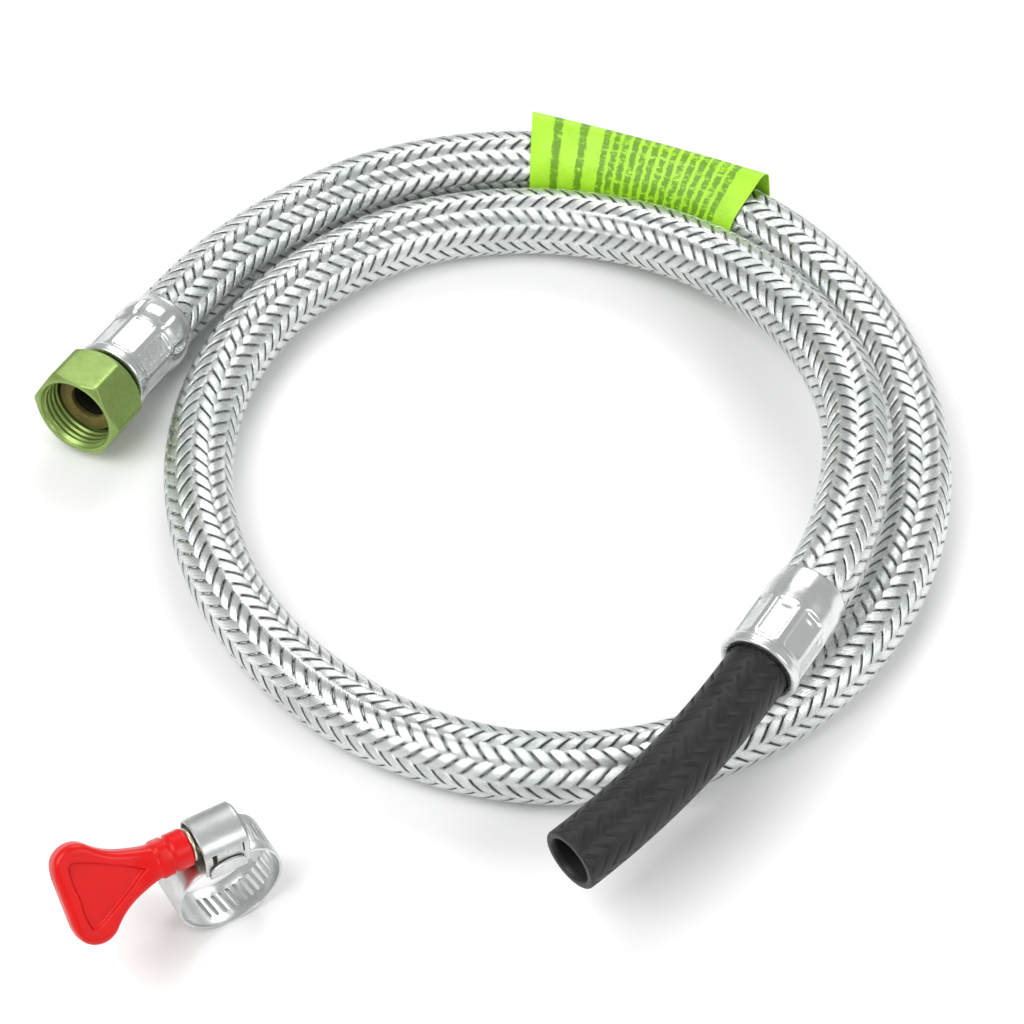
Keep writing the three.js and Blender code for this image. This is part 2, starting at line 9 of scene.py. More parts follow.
import bmesh
import bpy
import numpy as np
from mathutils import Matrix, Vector


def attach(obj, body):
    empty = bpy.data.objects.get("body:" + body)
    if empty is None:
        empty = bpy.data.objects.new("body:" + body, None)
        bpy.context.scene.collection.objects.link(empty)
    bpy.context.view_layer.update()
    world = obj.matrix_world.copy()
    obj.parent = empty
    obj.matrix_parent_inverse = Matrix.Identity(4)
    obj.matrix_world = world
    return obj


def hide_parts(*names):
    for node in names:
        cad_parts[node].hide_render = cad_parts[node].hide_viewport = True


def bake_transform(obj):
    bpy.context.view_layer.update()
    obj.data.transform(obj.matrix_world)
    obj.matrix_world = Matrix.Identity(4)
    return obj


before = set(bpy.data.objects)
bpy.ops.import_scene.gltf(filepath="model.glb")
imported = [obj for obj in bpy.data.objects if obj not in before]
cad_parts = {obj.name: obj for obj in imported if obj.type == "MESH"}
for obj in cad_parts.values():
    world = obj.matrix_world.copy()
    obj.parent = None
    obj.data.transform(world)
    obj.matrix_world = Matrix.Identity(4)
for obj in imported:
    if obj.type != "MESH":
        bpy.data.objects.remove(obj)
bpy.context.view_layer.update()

MM = 0.001
TAU = 2 * math.pi
SHARP_ANGLE = math.radians(40)

# Hose: sizes and coil, as the CAD has them
FRAME_SHIFT = np.array([5.84, 11.32, 0.0])
RUBBER_RADIUS = 8.5
BORE_RADIUS = 6.5
COIL_CENTRE = np.array([3.6, 5.9])
COIL_HALF_WIDTH = 109.7
COIL_HALF_DEPTH = 116.7
COIL_TILT = math.radians(15)
COIL_START_ANGLE = math.radians(135)
COIL_POINTS_PER_TURN = 16
COIL_POINTS = 24
INNER_TURN_SHIFT = 22.2
SHIFT_TURNS = (0.2, 0.78)
FLOOR_HEIGHT = 9.4
CROSSING_HEIGHT = 30.4
RISE_TURNS = (1.09, 1.46)
LABEL_LIFT = 1.3
LABEL_TURNS = (-0.02, 0.12, 0.34, 0.48)
NUT_END = np.array([-96.6, 60.5, 10.4])
NUT_DIRECTION = np.array([-0.47, -0.873, 0.122]) / np.linalg.norm([-0.47, -0.873, 0.122])
NUT_END_LENGTH = 46
STUB_FERRULE_START = np.array([76.6, -52.4, 30.6])
STUB_HEADING = math.radians(238)
STUB_BEND = math.radians(-17)
STUB_SLOPE = -0.05
NUT_LEAD = 5
STUB_LEAD = 6
FERRULE_LENGTH = 28
STUB_LENGTH = 74

# Swivel nut, tail and gasket, by distance from the nut's mouth
NUT_FACE = 12
NUT_LENGTH = 14.5
NUT_WALL_FROM = 11.8
NUT_CHAMFER = 1.3
BACK_CHAMFER = 2.3
NUT_CORNER = 13.6
THREAD_MINOR = 9.35
THREAD_MAJOR = 10.45
THREAD_PITCH = 1.814
THREAD_TO = 8.6
NECK_RADIUS = 7
TAIL_BORE = 4.5
FLANGE_RADIUS = 9
FLANGE_FROM = 8.9
BARB_RADIUS = 6.2
BARBS = 4
BARB_PITCH = 5
GASKET_FROM = 6.6
GASKET_BORE = 5.2
HOSE_FROM = 18.2
NUT_FERRULE_FROM = 17

# Ferrules: a lip, then pressed flats, then the bulge behind them
FERRULE_RADIUS = 10.45
FERRULE_FLATS = 8
FLAT_HEIGHT = 9.58
FLAT_MIDDLE, FLAT_HALF_LENGTH = 10.6, 5.2
FERRULE_LINING = 9.42
NUT_FERRULE_BULGE, STUB_FERRULE_BULGE = 0.75, 0.15

# Braid: twelve ribbons of wires each way round, two over and two under
STRANDS = 12
LAY = 54
BRAID_RADIUS = 9.05
BRAID_WAVE = 0.2
RIBBON_WIDTH = 3.05
RIBBON_HALF_THICKNESS = 0.17
RIBBON_STEPS = 1330
RIBBON_SIDES = 6
WIRES = 8

# Label sleeve
LABEL_FROM = 172
LABEL_LENGTH = 67
LABEL_RADIUS = 10.1
LABEL_CREST = 15.2
CREST_CURVE = 3.2
LABEL_CREST_ANGLE = math.radians(62)
FILM = 0.3

# Clamp: X along the screw, Z up, the ring centred on the origin
CLAMP_YAW = math.radians(30)
RING_RADIUS = 13.85
BAND_THICKNESS = 0.7
BAND_WIDTH = 12
CLAMP_PLACE = np.array([-72, -127.28, RING_RADIUS + BAND_THICKNESS / 2]) + FRAME_SHIFT
TAIL_FLAT, TAIL_CORNER = 4.5, 8
HEAD_FLAT, HEAD_CORNER = 5.5, 7.5
TAIL_TIP_X = -4.2
HEAD_TIP_X = 2.4
CLOSE_PIVOT = math.radians(-46)
SLOT_PITCH = 2.1
SLOT_HALF_WIDTH = 0.52
SLOT_HALF_LENGTH = 3.1
SLOT_SLANT = 0.14
SLOTS_TO = math.radians(-118)
HOUSING_HALF = 6.25
HOUSING_HALF_WIDTH = 6.7
HOUSING_RISE = 5.2
SHEET = 0.6
WINDOW = (-4.3, -8.0, 13.6), (-3.0, -4.2, 17.2)
SLIT = (3.9, -8.0, 14.4), (4.3, -4.6, 17.8)
SCREW_HEIGHT = 16.25
ARCH_HEIGHT = 15.5
SKIRT_FOOT = 10.35
KEY_END_X = -7.9
KEY_THICKNESS = 6.4
KEY_RECESS = 1.1
KEY_TURN = math.radians(-40)
KEY_LENGTH = 33.5
KEY_COLLAR_RADIUS = 5
KEY_LOBE_RADIUS = 6
KEY_LOBE_PLACE = (27.5, 7)
KEY_BORE_RADIUS, KEY_BORE_LENGTH = 3.6, 5.5


# ---- numbers and meshes

def smooth(low, high, value):
    t = np.clip((value - low) / (high - low), 0, 1)
    return t * t * (3 - 2 * t)


def full_turn(steps):
    return np.arange(steps) / steps * TAU


def zigzag(phase):
    """From 1 at whole numbers to 0 halfway between them."""
    return np.abs(2 * (phase - np.floor(phase)) - 1)


def unit(vectors):
    return vectors / np.linalg.norm(vectors, axis=-1, keepdims=True)


def grid_faces(rows, columns, wrap_rows=False, wrap_columns=False):
    row, column = np.meshgrid(
        np.arange(rows - (not wrap_rows)), np.arange(columns - (not wrap_columns)), indexing="ij")
    next_row = (row + 1) % rows
    next_column = (column + 1) % columns
    corners = [row * columns + column, row * columns + next_column,
               next_row * columns + next_column, next_row * columns + column]
    return np.stack([corner.ravel() for corner in corners], axis=1)


def put(name, data):
    """A new object in the scene."""
    thing = bpy.data.objects.new(name, data)
    bpy.context.scene.collection.objects.link(thing)
    return thing


def new_piece(name, points, faces, material):
    """A mesh object from points in millimetres, with its faces turned outwards."""
    mesh = bpy.data.meshes.new(name)
    mesh.from_pydata((np.reshape(points, (-1, 3)) * MM).tolist(), [], [list(face) for face in faces])
    piece = put(name, mesh)
    mesh.materials.append(material)
    face_outwards(mesh)
    mesh.shade_smooth()
    return piece


def face_outwards(mesh):
    work = bmesh.new()
    work.from_mesh(mesh)
    bmesh.ops.recalc_face_normals(work, faces=work.faces)
    work.to_mesh(mesh)
    work.free()


def ring_solid(name, rings, material):
    """A closed solid from rings of points; the last ring joins the first."""
    rows, columns = rings.shape[:2]
    return new_piece(name, rings, grid_faces(rows, columns, True, True), material)


def evaluated(piece):
    """Turns a piece's modifiers into plain mesh and removes them."""
    graph = bpy.context.evaluated_depsgraph_get()
    mesh = bpy.data.meshes.new_from_object(piece.evaluated_get(graph))
    for material in piece.data.materials:
        if material.name not in mesh.materials:
            mesh.materials.append(material)
    piece.modifiers.clear()
    piece.data = mesh
    return piece


def sheet_metal(piece, thickness, bevel=0.12, sharp=math.radians(35)):
    """Gives an open sheet its thickness, half on each side, and breaks its edges."""
    solid = piece.modifiers.new("thickness", "SOLIDIFY")
    solid.thickness = thickness * MM
    solid.offset = 0
    solid.use_even_offset = True
    edge = piece.modifiers.new("edges", "BEVEL")
    edge.width = bevel * MM
    edge.segments = 2
    edge.limit_method = "ANGLE"
    edge.angle_limit = sharp
    evaluated(piece)
    piece.data.set_sharp_from_angle(angle=SHARP_ANGLE)
    return piece


# ---- the hose's route

def coil_point(turns):
    angle = COIL_START_ANGLE - TAU * turns
    shift = INNER_TURN_SHIFT * smooth(*SHIFT_TURNS, turns)
    half_width = COIL_HALF_WIDTH - shift
    half_depth = COIL_HALF_DEPTH - shift
    across = half_depth * math.cos(angle - COIL_TILT)
    along = half_width * math.sin(angle - COIL_TILT)
    radius = half_width * half_depth / math.hypot(across, along)
    rise = (CROSSING_HEIGHT - FLOOR_HEIGHT) * smooth(*RISE_TURNS, turns)
    lift_from, lift_full, lift_held, lift_to = LABEL_TURNS
    lift = LABEL_LIFT * (smooth(lift_from, lift_full, turns) - smooth(lift_held, lift_to, turns))
    return np.array([COIL_CENTRE[0] + radius * math.cos(angle),
                     COIL_CENTRE[1] + radius * math.sin(angle), FLOOR_HEIGHT + rise + lift])


def through_points(points, steps=60):
    """A centripetal Catmull-Rom curve through the points, as a dense line."""
    ends = [2 * points[0] - points[1], *points, 2 * points[-1] - points[-2]]
    t = np.linspace(0, 1, steps, endpoint=False)[:, None]
    line = []
    for before, start, end, after in zip(ends, ends[1:], ends[2:], ends[3:]):
        gap_in, gap, gap_out = (math.sqrt(np.linalg.norm(b - a))
                                for a, b in ((before, start), (start, end), (end, after)))
        leave = ((start - before) / gap_in - (end - before) / (gap_in + gap) + (end - start) / gap) * gap
        arrive = ((end - start) / gap - (after - start) / (gap + gap_out) + (after - end) / gap_out) * gap
        square = -3 * start + 3 * end - 2 * leave - arrive
        cube = 2 * start - 2 * end + leave + arrive
        line.append(start + leave * t + square * t**2 + cube * t**3)
    return np.concatenate([*line, points[-1][None]])


class Route:
    """The hose's centreline by distance from the nut's mouth, with a frame that doesn't twist."""

    def __init__(self):
        self.stub_direction = unit(np.array([math.cos(STUB_HEADING), math.sin(STUB_HEADING), STUB_SLOPE]))
        turns = [step / COIL_POINTS_PER_TURN for step in range(COIL_POINTS)]
        points = [NUT_END, NUT_END - NUT_DIRECTION * NUT_LEAD, *map(coil_point, turns),
                  STUB_FERRULE_START - self.stub_direction * STUB_LEAD, STUB_FERRULE_START]
        straight = NUT_END + NUT_DIRECTION * np.arange(NUT_END_LENGTH, 0, -1)[:, None]
        coil = through_points(points)
        ferrule = STUB_FERRULE_START + self.stub_direction * np.arange(1, FERRULE_LENGTH + 1)[:, None]
        bent = np.arange(1, STUB_LENGTH + 1)
        heading = STUB_HEADING + STUB_BEND * bent / STUB_LENGTH
        radius = STUB_LENGTH / STUB_BEND
        stub = np.stack([radius * (np.sin(heading) - math.sin(STUB_HEADING)),
                         -radius * (np.cos(heading) - math.cos(STUB_HEADING)), STUB_SLOPE * bent], axis=1)
        line = np.concatenate([straight, coil, ferrule, ferrule[-1] + stub]) + FRAME_SHIFT
        steps = np.linalg.norm(np.diff(line, axis=0), axis=1)
        distance = np.concatenate([[0], np.cumsum(steps)])
        self.total = distance[-1]
        self.stub_from = self.total - STUB_LENGTH
        self.distance = np.linspace(0, self.total, round(self.total) + 1)
        self.line = self.spread(distance, line, self.distance)
        self.tangent = unit(np.gradient(self.line, axis=0))
        up = np.zeros_like(self.line)
        vector = np.array([0.0, 0.0, 1.0])
        for index, tangent in enumerate(self.tangent):
            vector = unit(vector - tangent * (vector @ tangent))
            up[index] = vector
        self.up = up
        self.outward = np.cross(up, self.tangent)

    @staticmethod
    def spread(distance, values, at):
        return np.stack([np.interp(at, distance, values[:, axis]) for axis in range(3)], axis=-1)

    def at(self, distance, values=None):
        return self.spread(self.distance, self.line if values is None else values, distance)

    def around(self, distance, radius, angle):
        """Points round the centreline; angle 0 faces out of the coil and a quarter turn faces up."""
        distance, radius, angle = np.broadcast_arrays(distance, radius, angle)
        side = unit(self.at(distance, self.outward))
        up = unit(self.at(distance, self.up))
        return (self.at(distance) + (radius * np.cos(angle))[..., None] * side
                + (radius * np.sin(angle))[..., None] * up)


route = Route()


class Axis:
    """Places what is turned about a straight end of the hose: radius, distance inwards, angle."""

    def __init__(self, origin, direction):
        turn = Vector((0, 1, 0)).rotation_difference(Vector(direction))
        self.origin = np.array(origin)
        self.side, self.along, self.front = (np.array(turn @ Vector(axis)) for axis in np.eye(3))

    def place(self, radius, along, angle):
        radius, along, angle = np.broadcast_arrays(radius, along, angle)
        return (self.origin + (radius * np.cos(angle))[..., None] * self.side + along[..., None] * self.along
                - (radius * np.sin(angle))[..., None] * self.front)

    def turned(self, name, profile, material, sides=96):
        radius, along = np.array(profile, float).T
        angle = full_turn(sides)
        return ring_solid(name, self.place(radius[:, None], along[:, None], angle[None]), material)


nut_axis = Axis(route.at(0.0), -NUT_DIRECTION)
stub_axis = Axis(route.at(route.stub_from), -route.stub_direction)


# ---- node trees

class Tree:
    """Short calls that add nodes; an input is given a number or linked to a socket."""

    def __init__(self, tree):
        self.tree = tree

    def feed(self, socket, value):
        if isinstance(value, bpy.types.NodeSocket):
            self.tree.links.new(value, socket)
        else:
            socket.default_value = value

    def add(self, kind, inputs=None, **settings):
        node = self.tree.nodes.new(kind)
        for name, value in settings.items():
            setattr(node, name, value)
        for key, value in (inputs or {}).items():
            self.feed(node.inputs[key], value)
        return node

    def math(self, operation, *values):
        return self.add("ShaderNodeMath", dict(enumerate(values)), operation=operation).outputs[0]

    def times(self, first, second):
        return self.math("MULTIPLY", first, second)

    def plus(self, first, second):
        return self.math("ADD", first, second)

    def minus(self, first, second):
        return self.math("SUBTRACT", first, second)

    def over(self, first, second):
        return self.math("DIVIDE", first, second)

    def cos(self, value):
        return self.math("COSINE", value)

    def sin(self, value):
        return self.math("SINE", value)

    def absolute(self, value):
        return self.math("ABSOLUTE", value)

    def vector(self, operation, *values):
        return self.add("ShaderNodeVectorMath", dict(enumerate(values)), operation=operation).outputs[0]

    def scaled(self, vector, scale):
        return self.add("ShaderNodeVectorMath", {0: vector, "Scale": scale}, operation="SCALE").outputs[0]

    def parts(self, vector):
        return self.add("ShaderNodeSeparateXYZ", {0: vector}).outputs

    def whole(self, x=0.0, y=0.0, z=0.0):
        return self.add("ShaderNodeCombineXYZ", {0: x, 1: y, 2: z}).outputs[0]

    def range(self, value, low, high, to_low=0.0, to_high=1.0):
        limits = {0: value, 1: low, 2: high, 3: to_low, 4: to_high}
        return self.add("ShaderNodeMapRange", limits, interpolation_type="SMOOTHSTEP").outputs[0]

    def noise(self, vector, scale, detail=2.0, roughness=0.5):
        inputs = {"Vector": vector, "Scale": scale, "Detail": detail, "Roughness": roughness}
        return self.add("ShaderNodeTexNoise", inputs).outputs[0]

    def mix(self, factor, first, second):
        return self.add("ShaderNodeMix", {0: factor, 6: first, 7: second}, data_type="RGBA").outputs[2]


def new_group(name, kind, inputs, outputs):
    """An empty node group with named inputs (name, socket type, value) and outputs."""
    group = bpy.data.node_groups.new(name, kind)
    for title, socket, value in inputs:
        item = group.interface.new_socket(title, in_out="INPUT", socket_type=socket)
        if value is not None:
            item.default_value = value
    for title, socket in outputs:
        group.interface.new_socket(title, in_out="OUTPUT", socket_type=socket)
    tree = Tree(group)
    return group, tree, tree.add("NodeGroupInput").outputs, tree.add("NodeGroupOutput").inputs


COLOUR = "NodeSocketColor"
FLOAT = "NodeSocketFloat"
VECTOR = "NodeSocketVector"


def build_tarnish():
    """Colour and roughness that drift softly over a surface, with fine specks."""
    group, tree, given, out = new_group("tarnish", "ShaderNodeTree", [
        ("Vector", VECTOR, None), ("Clean", COLOUR, (0.8, 0.8, 0.8, 1)), ("Dull", COLOUR, (0.6, 0.6, 0.6, 1)),
        ("Scale", FLOAT, 60.0), ("Roughness", FLOAT, 0.3), ("Spread", FLOAT, 0.1),
    ], [("Colour", COLOUR), ("Roughness", FLOAT), ("Height", FLOAT)])
    drift = tree.noise(given["Vector"], given["Scale"], 4.0, 0.6)
    specks = tree.noise(given["Vector"], tree.times(given["Scale"], 14.0), 3.0, 0.6)
    worn = tree.range(tree.plus(drift, tree.times(specks, 0.35)), 0.5, 0.95)
    links = group.links
    links.new(tree.mix(worn, given["Clean"], given["Dull"]), out["Colour"])
    spread = tree.times(tree.minus(worn, 0.4), given["Spread"])
    links.new(tree.plus(given["Roughness"], spread), out["Roughness"])
    links.new(specks, out["Height"])
    return group


def build_brushing():
    """Fine lines along the stretched axis, as rolled and brushed strip has."""
    group, tree, given, out = new_group("brushing", "ShaderNodeTree", [
        ("Vector", VECTOR, None), ("Stretch", VECTOR, (1.0, 1.0, 1.0)), ("Scale", FLOAT, 900.0),
    ], [("Lines", FLOAT), ("Streaks", FLOAT)])
    stretched = tree.vector("MULTIPLY", given["Vector"], given["Stretch"])
    group.links.new(tree.noise(stretched, given["Scale"], 3.0, 0.7), out["Lines"])
    streaks = tree.noise(stretched, tree.times(given["Scale"], 0.12), 3.0, 0.6)
    group.links.new(streaks, out["Streaks"])
    return group


tarnish = build_tarnish()
brushing = build_brushing()


class Finish(Tree):
    """A material around one Principled shader."""

    def __init__(self, name, metallic, **constants):
        self.material = bpy.data.materials.new(name)
        self.material.use_nodes = True
        super().__init__(self.material.node_tree)
        self.shader = self.tree.nodes["Principled BSDF"]
        self.shader.inputs["Metallic"].default_value = metallic
        for socket, value in constants.items():
            self.shader.inputs[socket.replace("_", " ")].default_value = value
        self.place = self.add("ShaderNodeTexCoord").outputs["Object"]

    def group(self, group, **inputs):
        return self.add("ShaderNodeGroup", inputs, node_tree=group).outputs

    def tarnished(self, clean, dull, scale, roughness, spread):
        return self.group(tarnish, Vector=self.place, Clean=(*clean, 1), Dull=(*dull, 1),
                          Scale=scale, Roughness=roughness, Spread=spread)

    def use(self, colour, roughness, height=None, depth=0.05, strength=1.0):
        self.tree.links.new(colour, self.shader.inputs["Base Color"])
        self.tree.links.new(roughness, self.shader.inputs["Roughness"])
        if height is not None:
            bump = {"Height": height, "Distance": depth * MM, "Strength": strength}
            self.tree.links.new(self.add("ShaderNodeBump", bump).outputs[0], self.shader.inputs["Normal"])
        return self.material


# ---- finishes

def plain_finish(name, metallic, clean, dull, scale, roughness, spread, depth=0, strength=0.5, **constants):
    """A material that only drifts between two colours, with a fine grain where it has a depth."""
    finish = Finish(name, metallic, **constants)
    drift = finish.tarnished(clean, dull, scale, roughness, spread)
    grain = drift["Height"] if depth else None
    return finish.use(drift["Colour"], drift["Roughness"], grain, depth, strength)


def braid_finish():
    """Bright wires lying side by side along each ribbon, with painted shade darkening the grooves between
    wires and the ribbon's edges.
    """
    finish = Finish("braid_wire", 1.0)
    lay = finish.parts(finish.add("ShaderNodeUVMap", uv_map="UVMap").outputs[0])
    wave = finish.absolute(finish.sin(finish.times(lay[1], math.pi * WIRES)))
    wires = finish.math("POWER", wave, 0.6)
    along = finish.whole(finish.times(lay[0], 0.25), finish.times(lay[1], float(WIRES)))
    streak = finish.noise(along, 1.1, 2.0)
    drift = finish.tarnished((0.9, 0.92, 0.91), (0.62, 0.67, 0.65), 45, 0.26, 0.12)
    middle = finish.absolute(finish.minus(lay[1], 0.5))
    edge = finish.range(middle, 0.4, 0.5)
    # Painted shade: the colour darkens toward grey-green in the grooves between wires and at the ribbon's
    # edges, standing in for shadow there.
    groove = finish.times(finish.minus(1.0, wires), 0.55)
    shade = finish.math("MAXIMUM", groove, edge)
    colour = finish.mix(finish.times(shade, 0.8), drift["Colour"], (0.2, 0.23, 0.22, 1))
    colour = finish.mix(finish.range(streak, 0.35, 0.75, 0.0, 0.35), colour, (0.98, 0.99, 0.98, 1))
    return finish.use(colour, drift["Roughness"], wires, 0.12, 0.8)


def label_finish():
    """Yellow-green film with rows of dark green bars running round the hose."""
    finish = Finish("printed_film", 0.0, Specular_IOR_Level=0.35)
    spot = finish.parts(finish.add("ShaderNodeUVMap", uv_map="UVMap").outputs[0])
    along, around = spot[0], spot[1]
    ragged = finish.noise(finish.whole(along, finish.times(around, 0.55)), 0.9, 3.0, 0.7)
    pushed = finish.plus(along, finish.times(finish.minus(ragged, 0.5), 2.2))
    rows = finish.math("PINGPONG", pushed, 1.45)
    fine_rows = finish.range(rows, 0.42, 0.62)
    breaks = finish.noise(finish.whole(finish.times(along, 0.5), around), 0.55, 4.0, 0.75)
    block = finish.times(finish.range(along, 19.5, 20.5), finish.range(along, 60.5, 61.5, 1.0, 0.0))
    printed = finish.times(fine_rows, finish.range(breaks, 0.36, 0.5))
    printed = finish.times(printed, block)
    for middle in (7.5, 15.0):
        offset = finish.absolute(finish.minus(pushed, middle))
        bar = finish.range(offset, 0.9, 1.5, 1.0, 0.0)
        bar = finish.times(bar, finish.range(breaks, 0.33, 0.47))
        printed = finish.math("MAXIMUM", printed, bar)
    drift = finish.tarnished((0.46, 0.88, 0.04), (0.36, 0.72, 0.025), 80, 0.42, 0.1)
    colour = finish.mix(finish.times(printed, 0.93), drift["Colour"], (0.13, 0.31, 0.01, 1))
    wrinkle = finish.noise(finish.place, 130.0, 3.0)
    return finish.use(colour, drift["Roughness"], wrinkle, 0.9, 0.4)


def brushed_finish(name, stretch, clean, dull, roughness):
    finish = Finish(name, 1.0)
    lines = finish.group(brushing, Vector=finish.place, Stretch=stretch, Scale=1500.0)
    drift = finish.tarnished(clean, dull, 90, roughness, 0.12)
    colour = finish.mix(finish.range(lines["Streaks"], 0.35, 0.7, 0.0, 0.5), drift["Colour"], (*dull, 1))
    rough = finish.plus(drift["Roughness"], finish.times(lines["Lines"], 0.12))
    return finish.use(colour, rough, lines["Lines"], 0.03, 0.5)


BRASS = plain_finish(
    "greenish_brass", 0.75, (0.29, 0.41, 0.12), (0.21, 0.31, 0.08), 55, 0.38, 0.12, 0.02)
# Near-black painted shade: the brass hose tail gets this colour instead of brass, standing in for the shadow
# in its bore and neck.
PAINTED_SHADE_BRASS = plain_finish(
    "painted_shade_brass", 0.0, (0.012, 0.013, 0.006), (0.006, 0.007, 0.003), 55, 0.7, 0.1, Specular_IOR_Level=0.1)
PRESSED_STEEL = plain_finish(
    "pressed_steel", 1.0, (0.82, 0.83, 0.83), (0.62, 0.65, 0.64), 70, 0.27, 0.12, 0.015, 0.4)
BRAID = braid_finish()
RUBBER = plain_finish(
    "black_rubber", 0.0, (0.014, 0.0145, 0.0145), (0.028, 0.0285, 0.028), 120, 0.46, 0.14, 0.06,
    Specular_IOR_Level=0.3)
GASKET = plain_finish(
    "olive_fibre", 0.0, (0.17, 0.14, 0.03), (0.1, 0.083, 0.017), 300, 0.7, 0.1, 0.06, 0.7)
LABEL = label_finish()
STRIP = brushed_finish("brushed_strip", (0.15, 0.15, 1.0), (0.72, 0.73, 0.73), (0.5, 0.53, 0.52), 0.3)
HOUSING = brushed_finish("brushed_housing", (0.12, 1.0, 1.0), (0.68, 0.69, 0.68), (0.48, 0.5, 0.49), 0.32)
ZINC = brushed_finish("zinc_screw", (1.0, 1.0, 1.0), (0.8, 0.78, 0.68), (0.55, 0.5, 0.36), 0.24)
RED = plain_finish(
    "red_plastic", 0.0, (0.7, 0.004, 0.004), (0.6, 0.003, 0.003), 120, 0.34, 0.1, 0.03,
    Specular_IOR_Level=0.3)
FLOOR = plain_finish("studio_floor", 0.0, (0.93, 0.93, 0.93), (0.92, 0.92, 0.92), 4, 0.75, 0.05)


# ---- camera, floor and light

CAMERA_ELEVATION = math.radians(50)
CAMERA_DISTANCE = 1.05
CAMERA_ANGLE = 2 * math.atan(512 / 3889)
FLOOR_HALF = 3000
SKY_STRENGTH = 0.5
LAMPS = [
    ("key_light", (-0.7, -0.5, 1.3), 1.0, 14),
    ("fill_light", (1.0, -0.7, 0.9), 0.7, 6),
    ("back_light", (0.2, 1.1, 1.0), 0.8, 8),
]


def studio():
    camera = put("camera", bpy.data.cameras.new("camera"))
    target = FRAME_SHIFT * MM
    camera.location = Vector(target) + CAMERA_DISTANCE * Vector(
        (0, -math.cos(CAMERA_ELEVATION), math.sin(CAMERA_ELEVATION)))
    camera.rotation_euler = (math.pi / 2 - CAMERA_ELEVATION, 0, 0)
    camera.data.angle = CAMERA_ANGLE
    bpy.context.scene.camera = camera

    half = FLOOR_HALF
    corners = [(-half, -half, 0), (half, -half, 0), (half, half, 0), (-half, half, 0)]
    floor = new_piece("studio_floor", corners, [(0, 1, 2, 3)], FLOOR)

    world = bpy.data.worlds.new("soft_white")
    bpy.context.scene.world = world
    world.use_nodes = True
    sky = world.node_tree.nodes["Background"].inputs
    sky["Color"].default_value = (1, 1, 1, 1)
    sky["Strength"].default_value = SKY_STRENGTH
    for name, place, size, power in LAMPS:
        lamp = put(name, bpy.data.lights.new(name, "AREA"))
        lamp.data.size = size
        lamp.data.energy = power
        lamp.location = place
        lamp.rotation_euler = (-Vector(place)).to_track_quat("-Z", "Y").to_euler()
    bpy.context.scene.view_settings.view_transform = "Standard"


# ---- rubber hose

def weave_height(angle):
    """From -1 to 1 round the hose: above 0 the right-hand ribbons lie on top."""
    wave = np.cos(math.pi / 2 * (STRANDS * angle / math.pi - 0.5))
    return 1.5 * wave - 0.5 * wave**3


def imprint(distance, angle):
    """The dents that the braid left in the bare rubber, in short dashes both ways."""
    depth = np.zeros(np.broadcast(distance, angle).shape)
    fade = smooth(route.stub_from - 4, route.stub_from, distance)
    drift = np.sin(distance * 0.31 + 2 * np.sin(angle * 3)) * np.cos(angle * 5 + distance * 0.13)
    patches = 0.6 + 0.4 * drift
    for hand in (1, -1):
        across = STRANDS * (angle / TAU - hand * distance / LAY)
        from_gap = np.abs(across - np.floor(across) - 0.5)
        dash = 1 - smooth(0.04, 0.11, from_gap)
        under = smooth(0.15, 0.5, -hand * weave_height(angle))
        depth = np.maximum(depth, dash * under)
    return 0.5 * depth * fade * patches


def rubber_hose():
    sides = 144
    angle = full_turn(sides)
    hidden = np.arange(HOSE_FROM, route.stub_from - 4, 7.0)
    bare = np.linspace(route.stub_from - 4, route.total - 0.5, 190)
    outer = np.concatenate([hidden, bare])[:, None]
    radius = RUBBER_RADIUS - imprint(outer, angle[None])
    rim_distance = route.total - np.array([0.2, 0.03, 0.0, 0.0, 0.15])[:, None]
    rim_radius = np.array([-0.12, -0.35, -0.7, -1.6, -1.95])[:, None] + RUBBER_RADIUS
    bore = np.concatenate([np.arange(route.total - 2, HOSE_FROM, -9.0), [HOSE_FROM]])[:, None]
    rings = np.concatenate([
        route.around(outer, radius, angle[None]),
        route.around(rim_distance, rim_radius, angle[None]),
        route.around(bore, BORE_RADIUS, angle[None]),
    ])
    return ring_solid("rubber_hose", rings, RUBBER)


# ---- wire braid

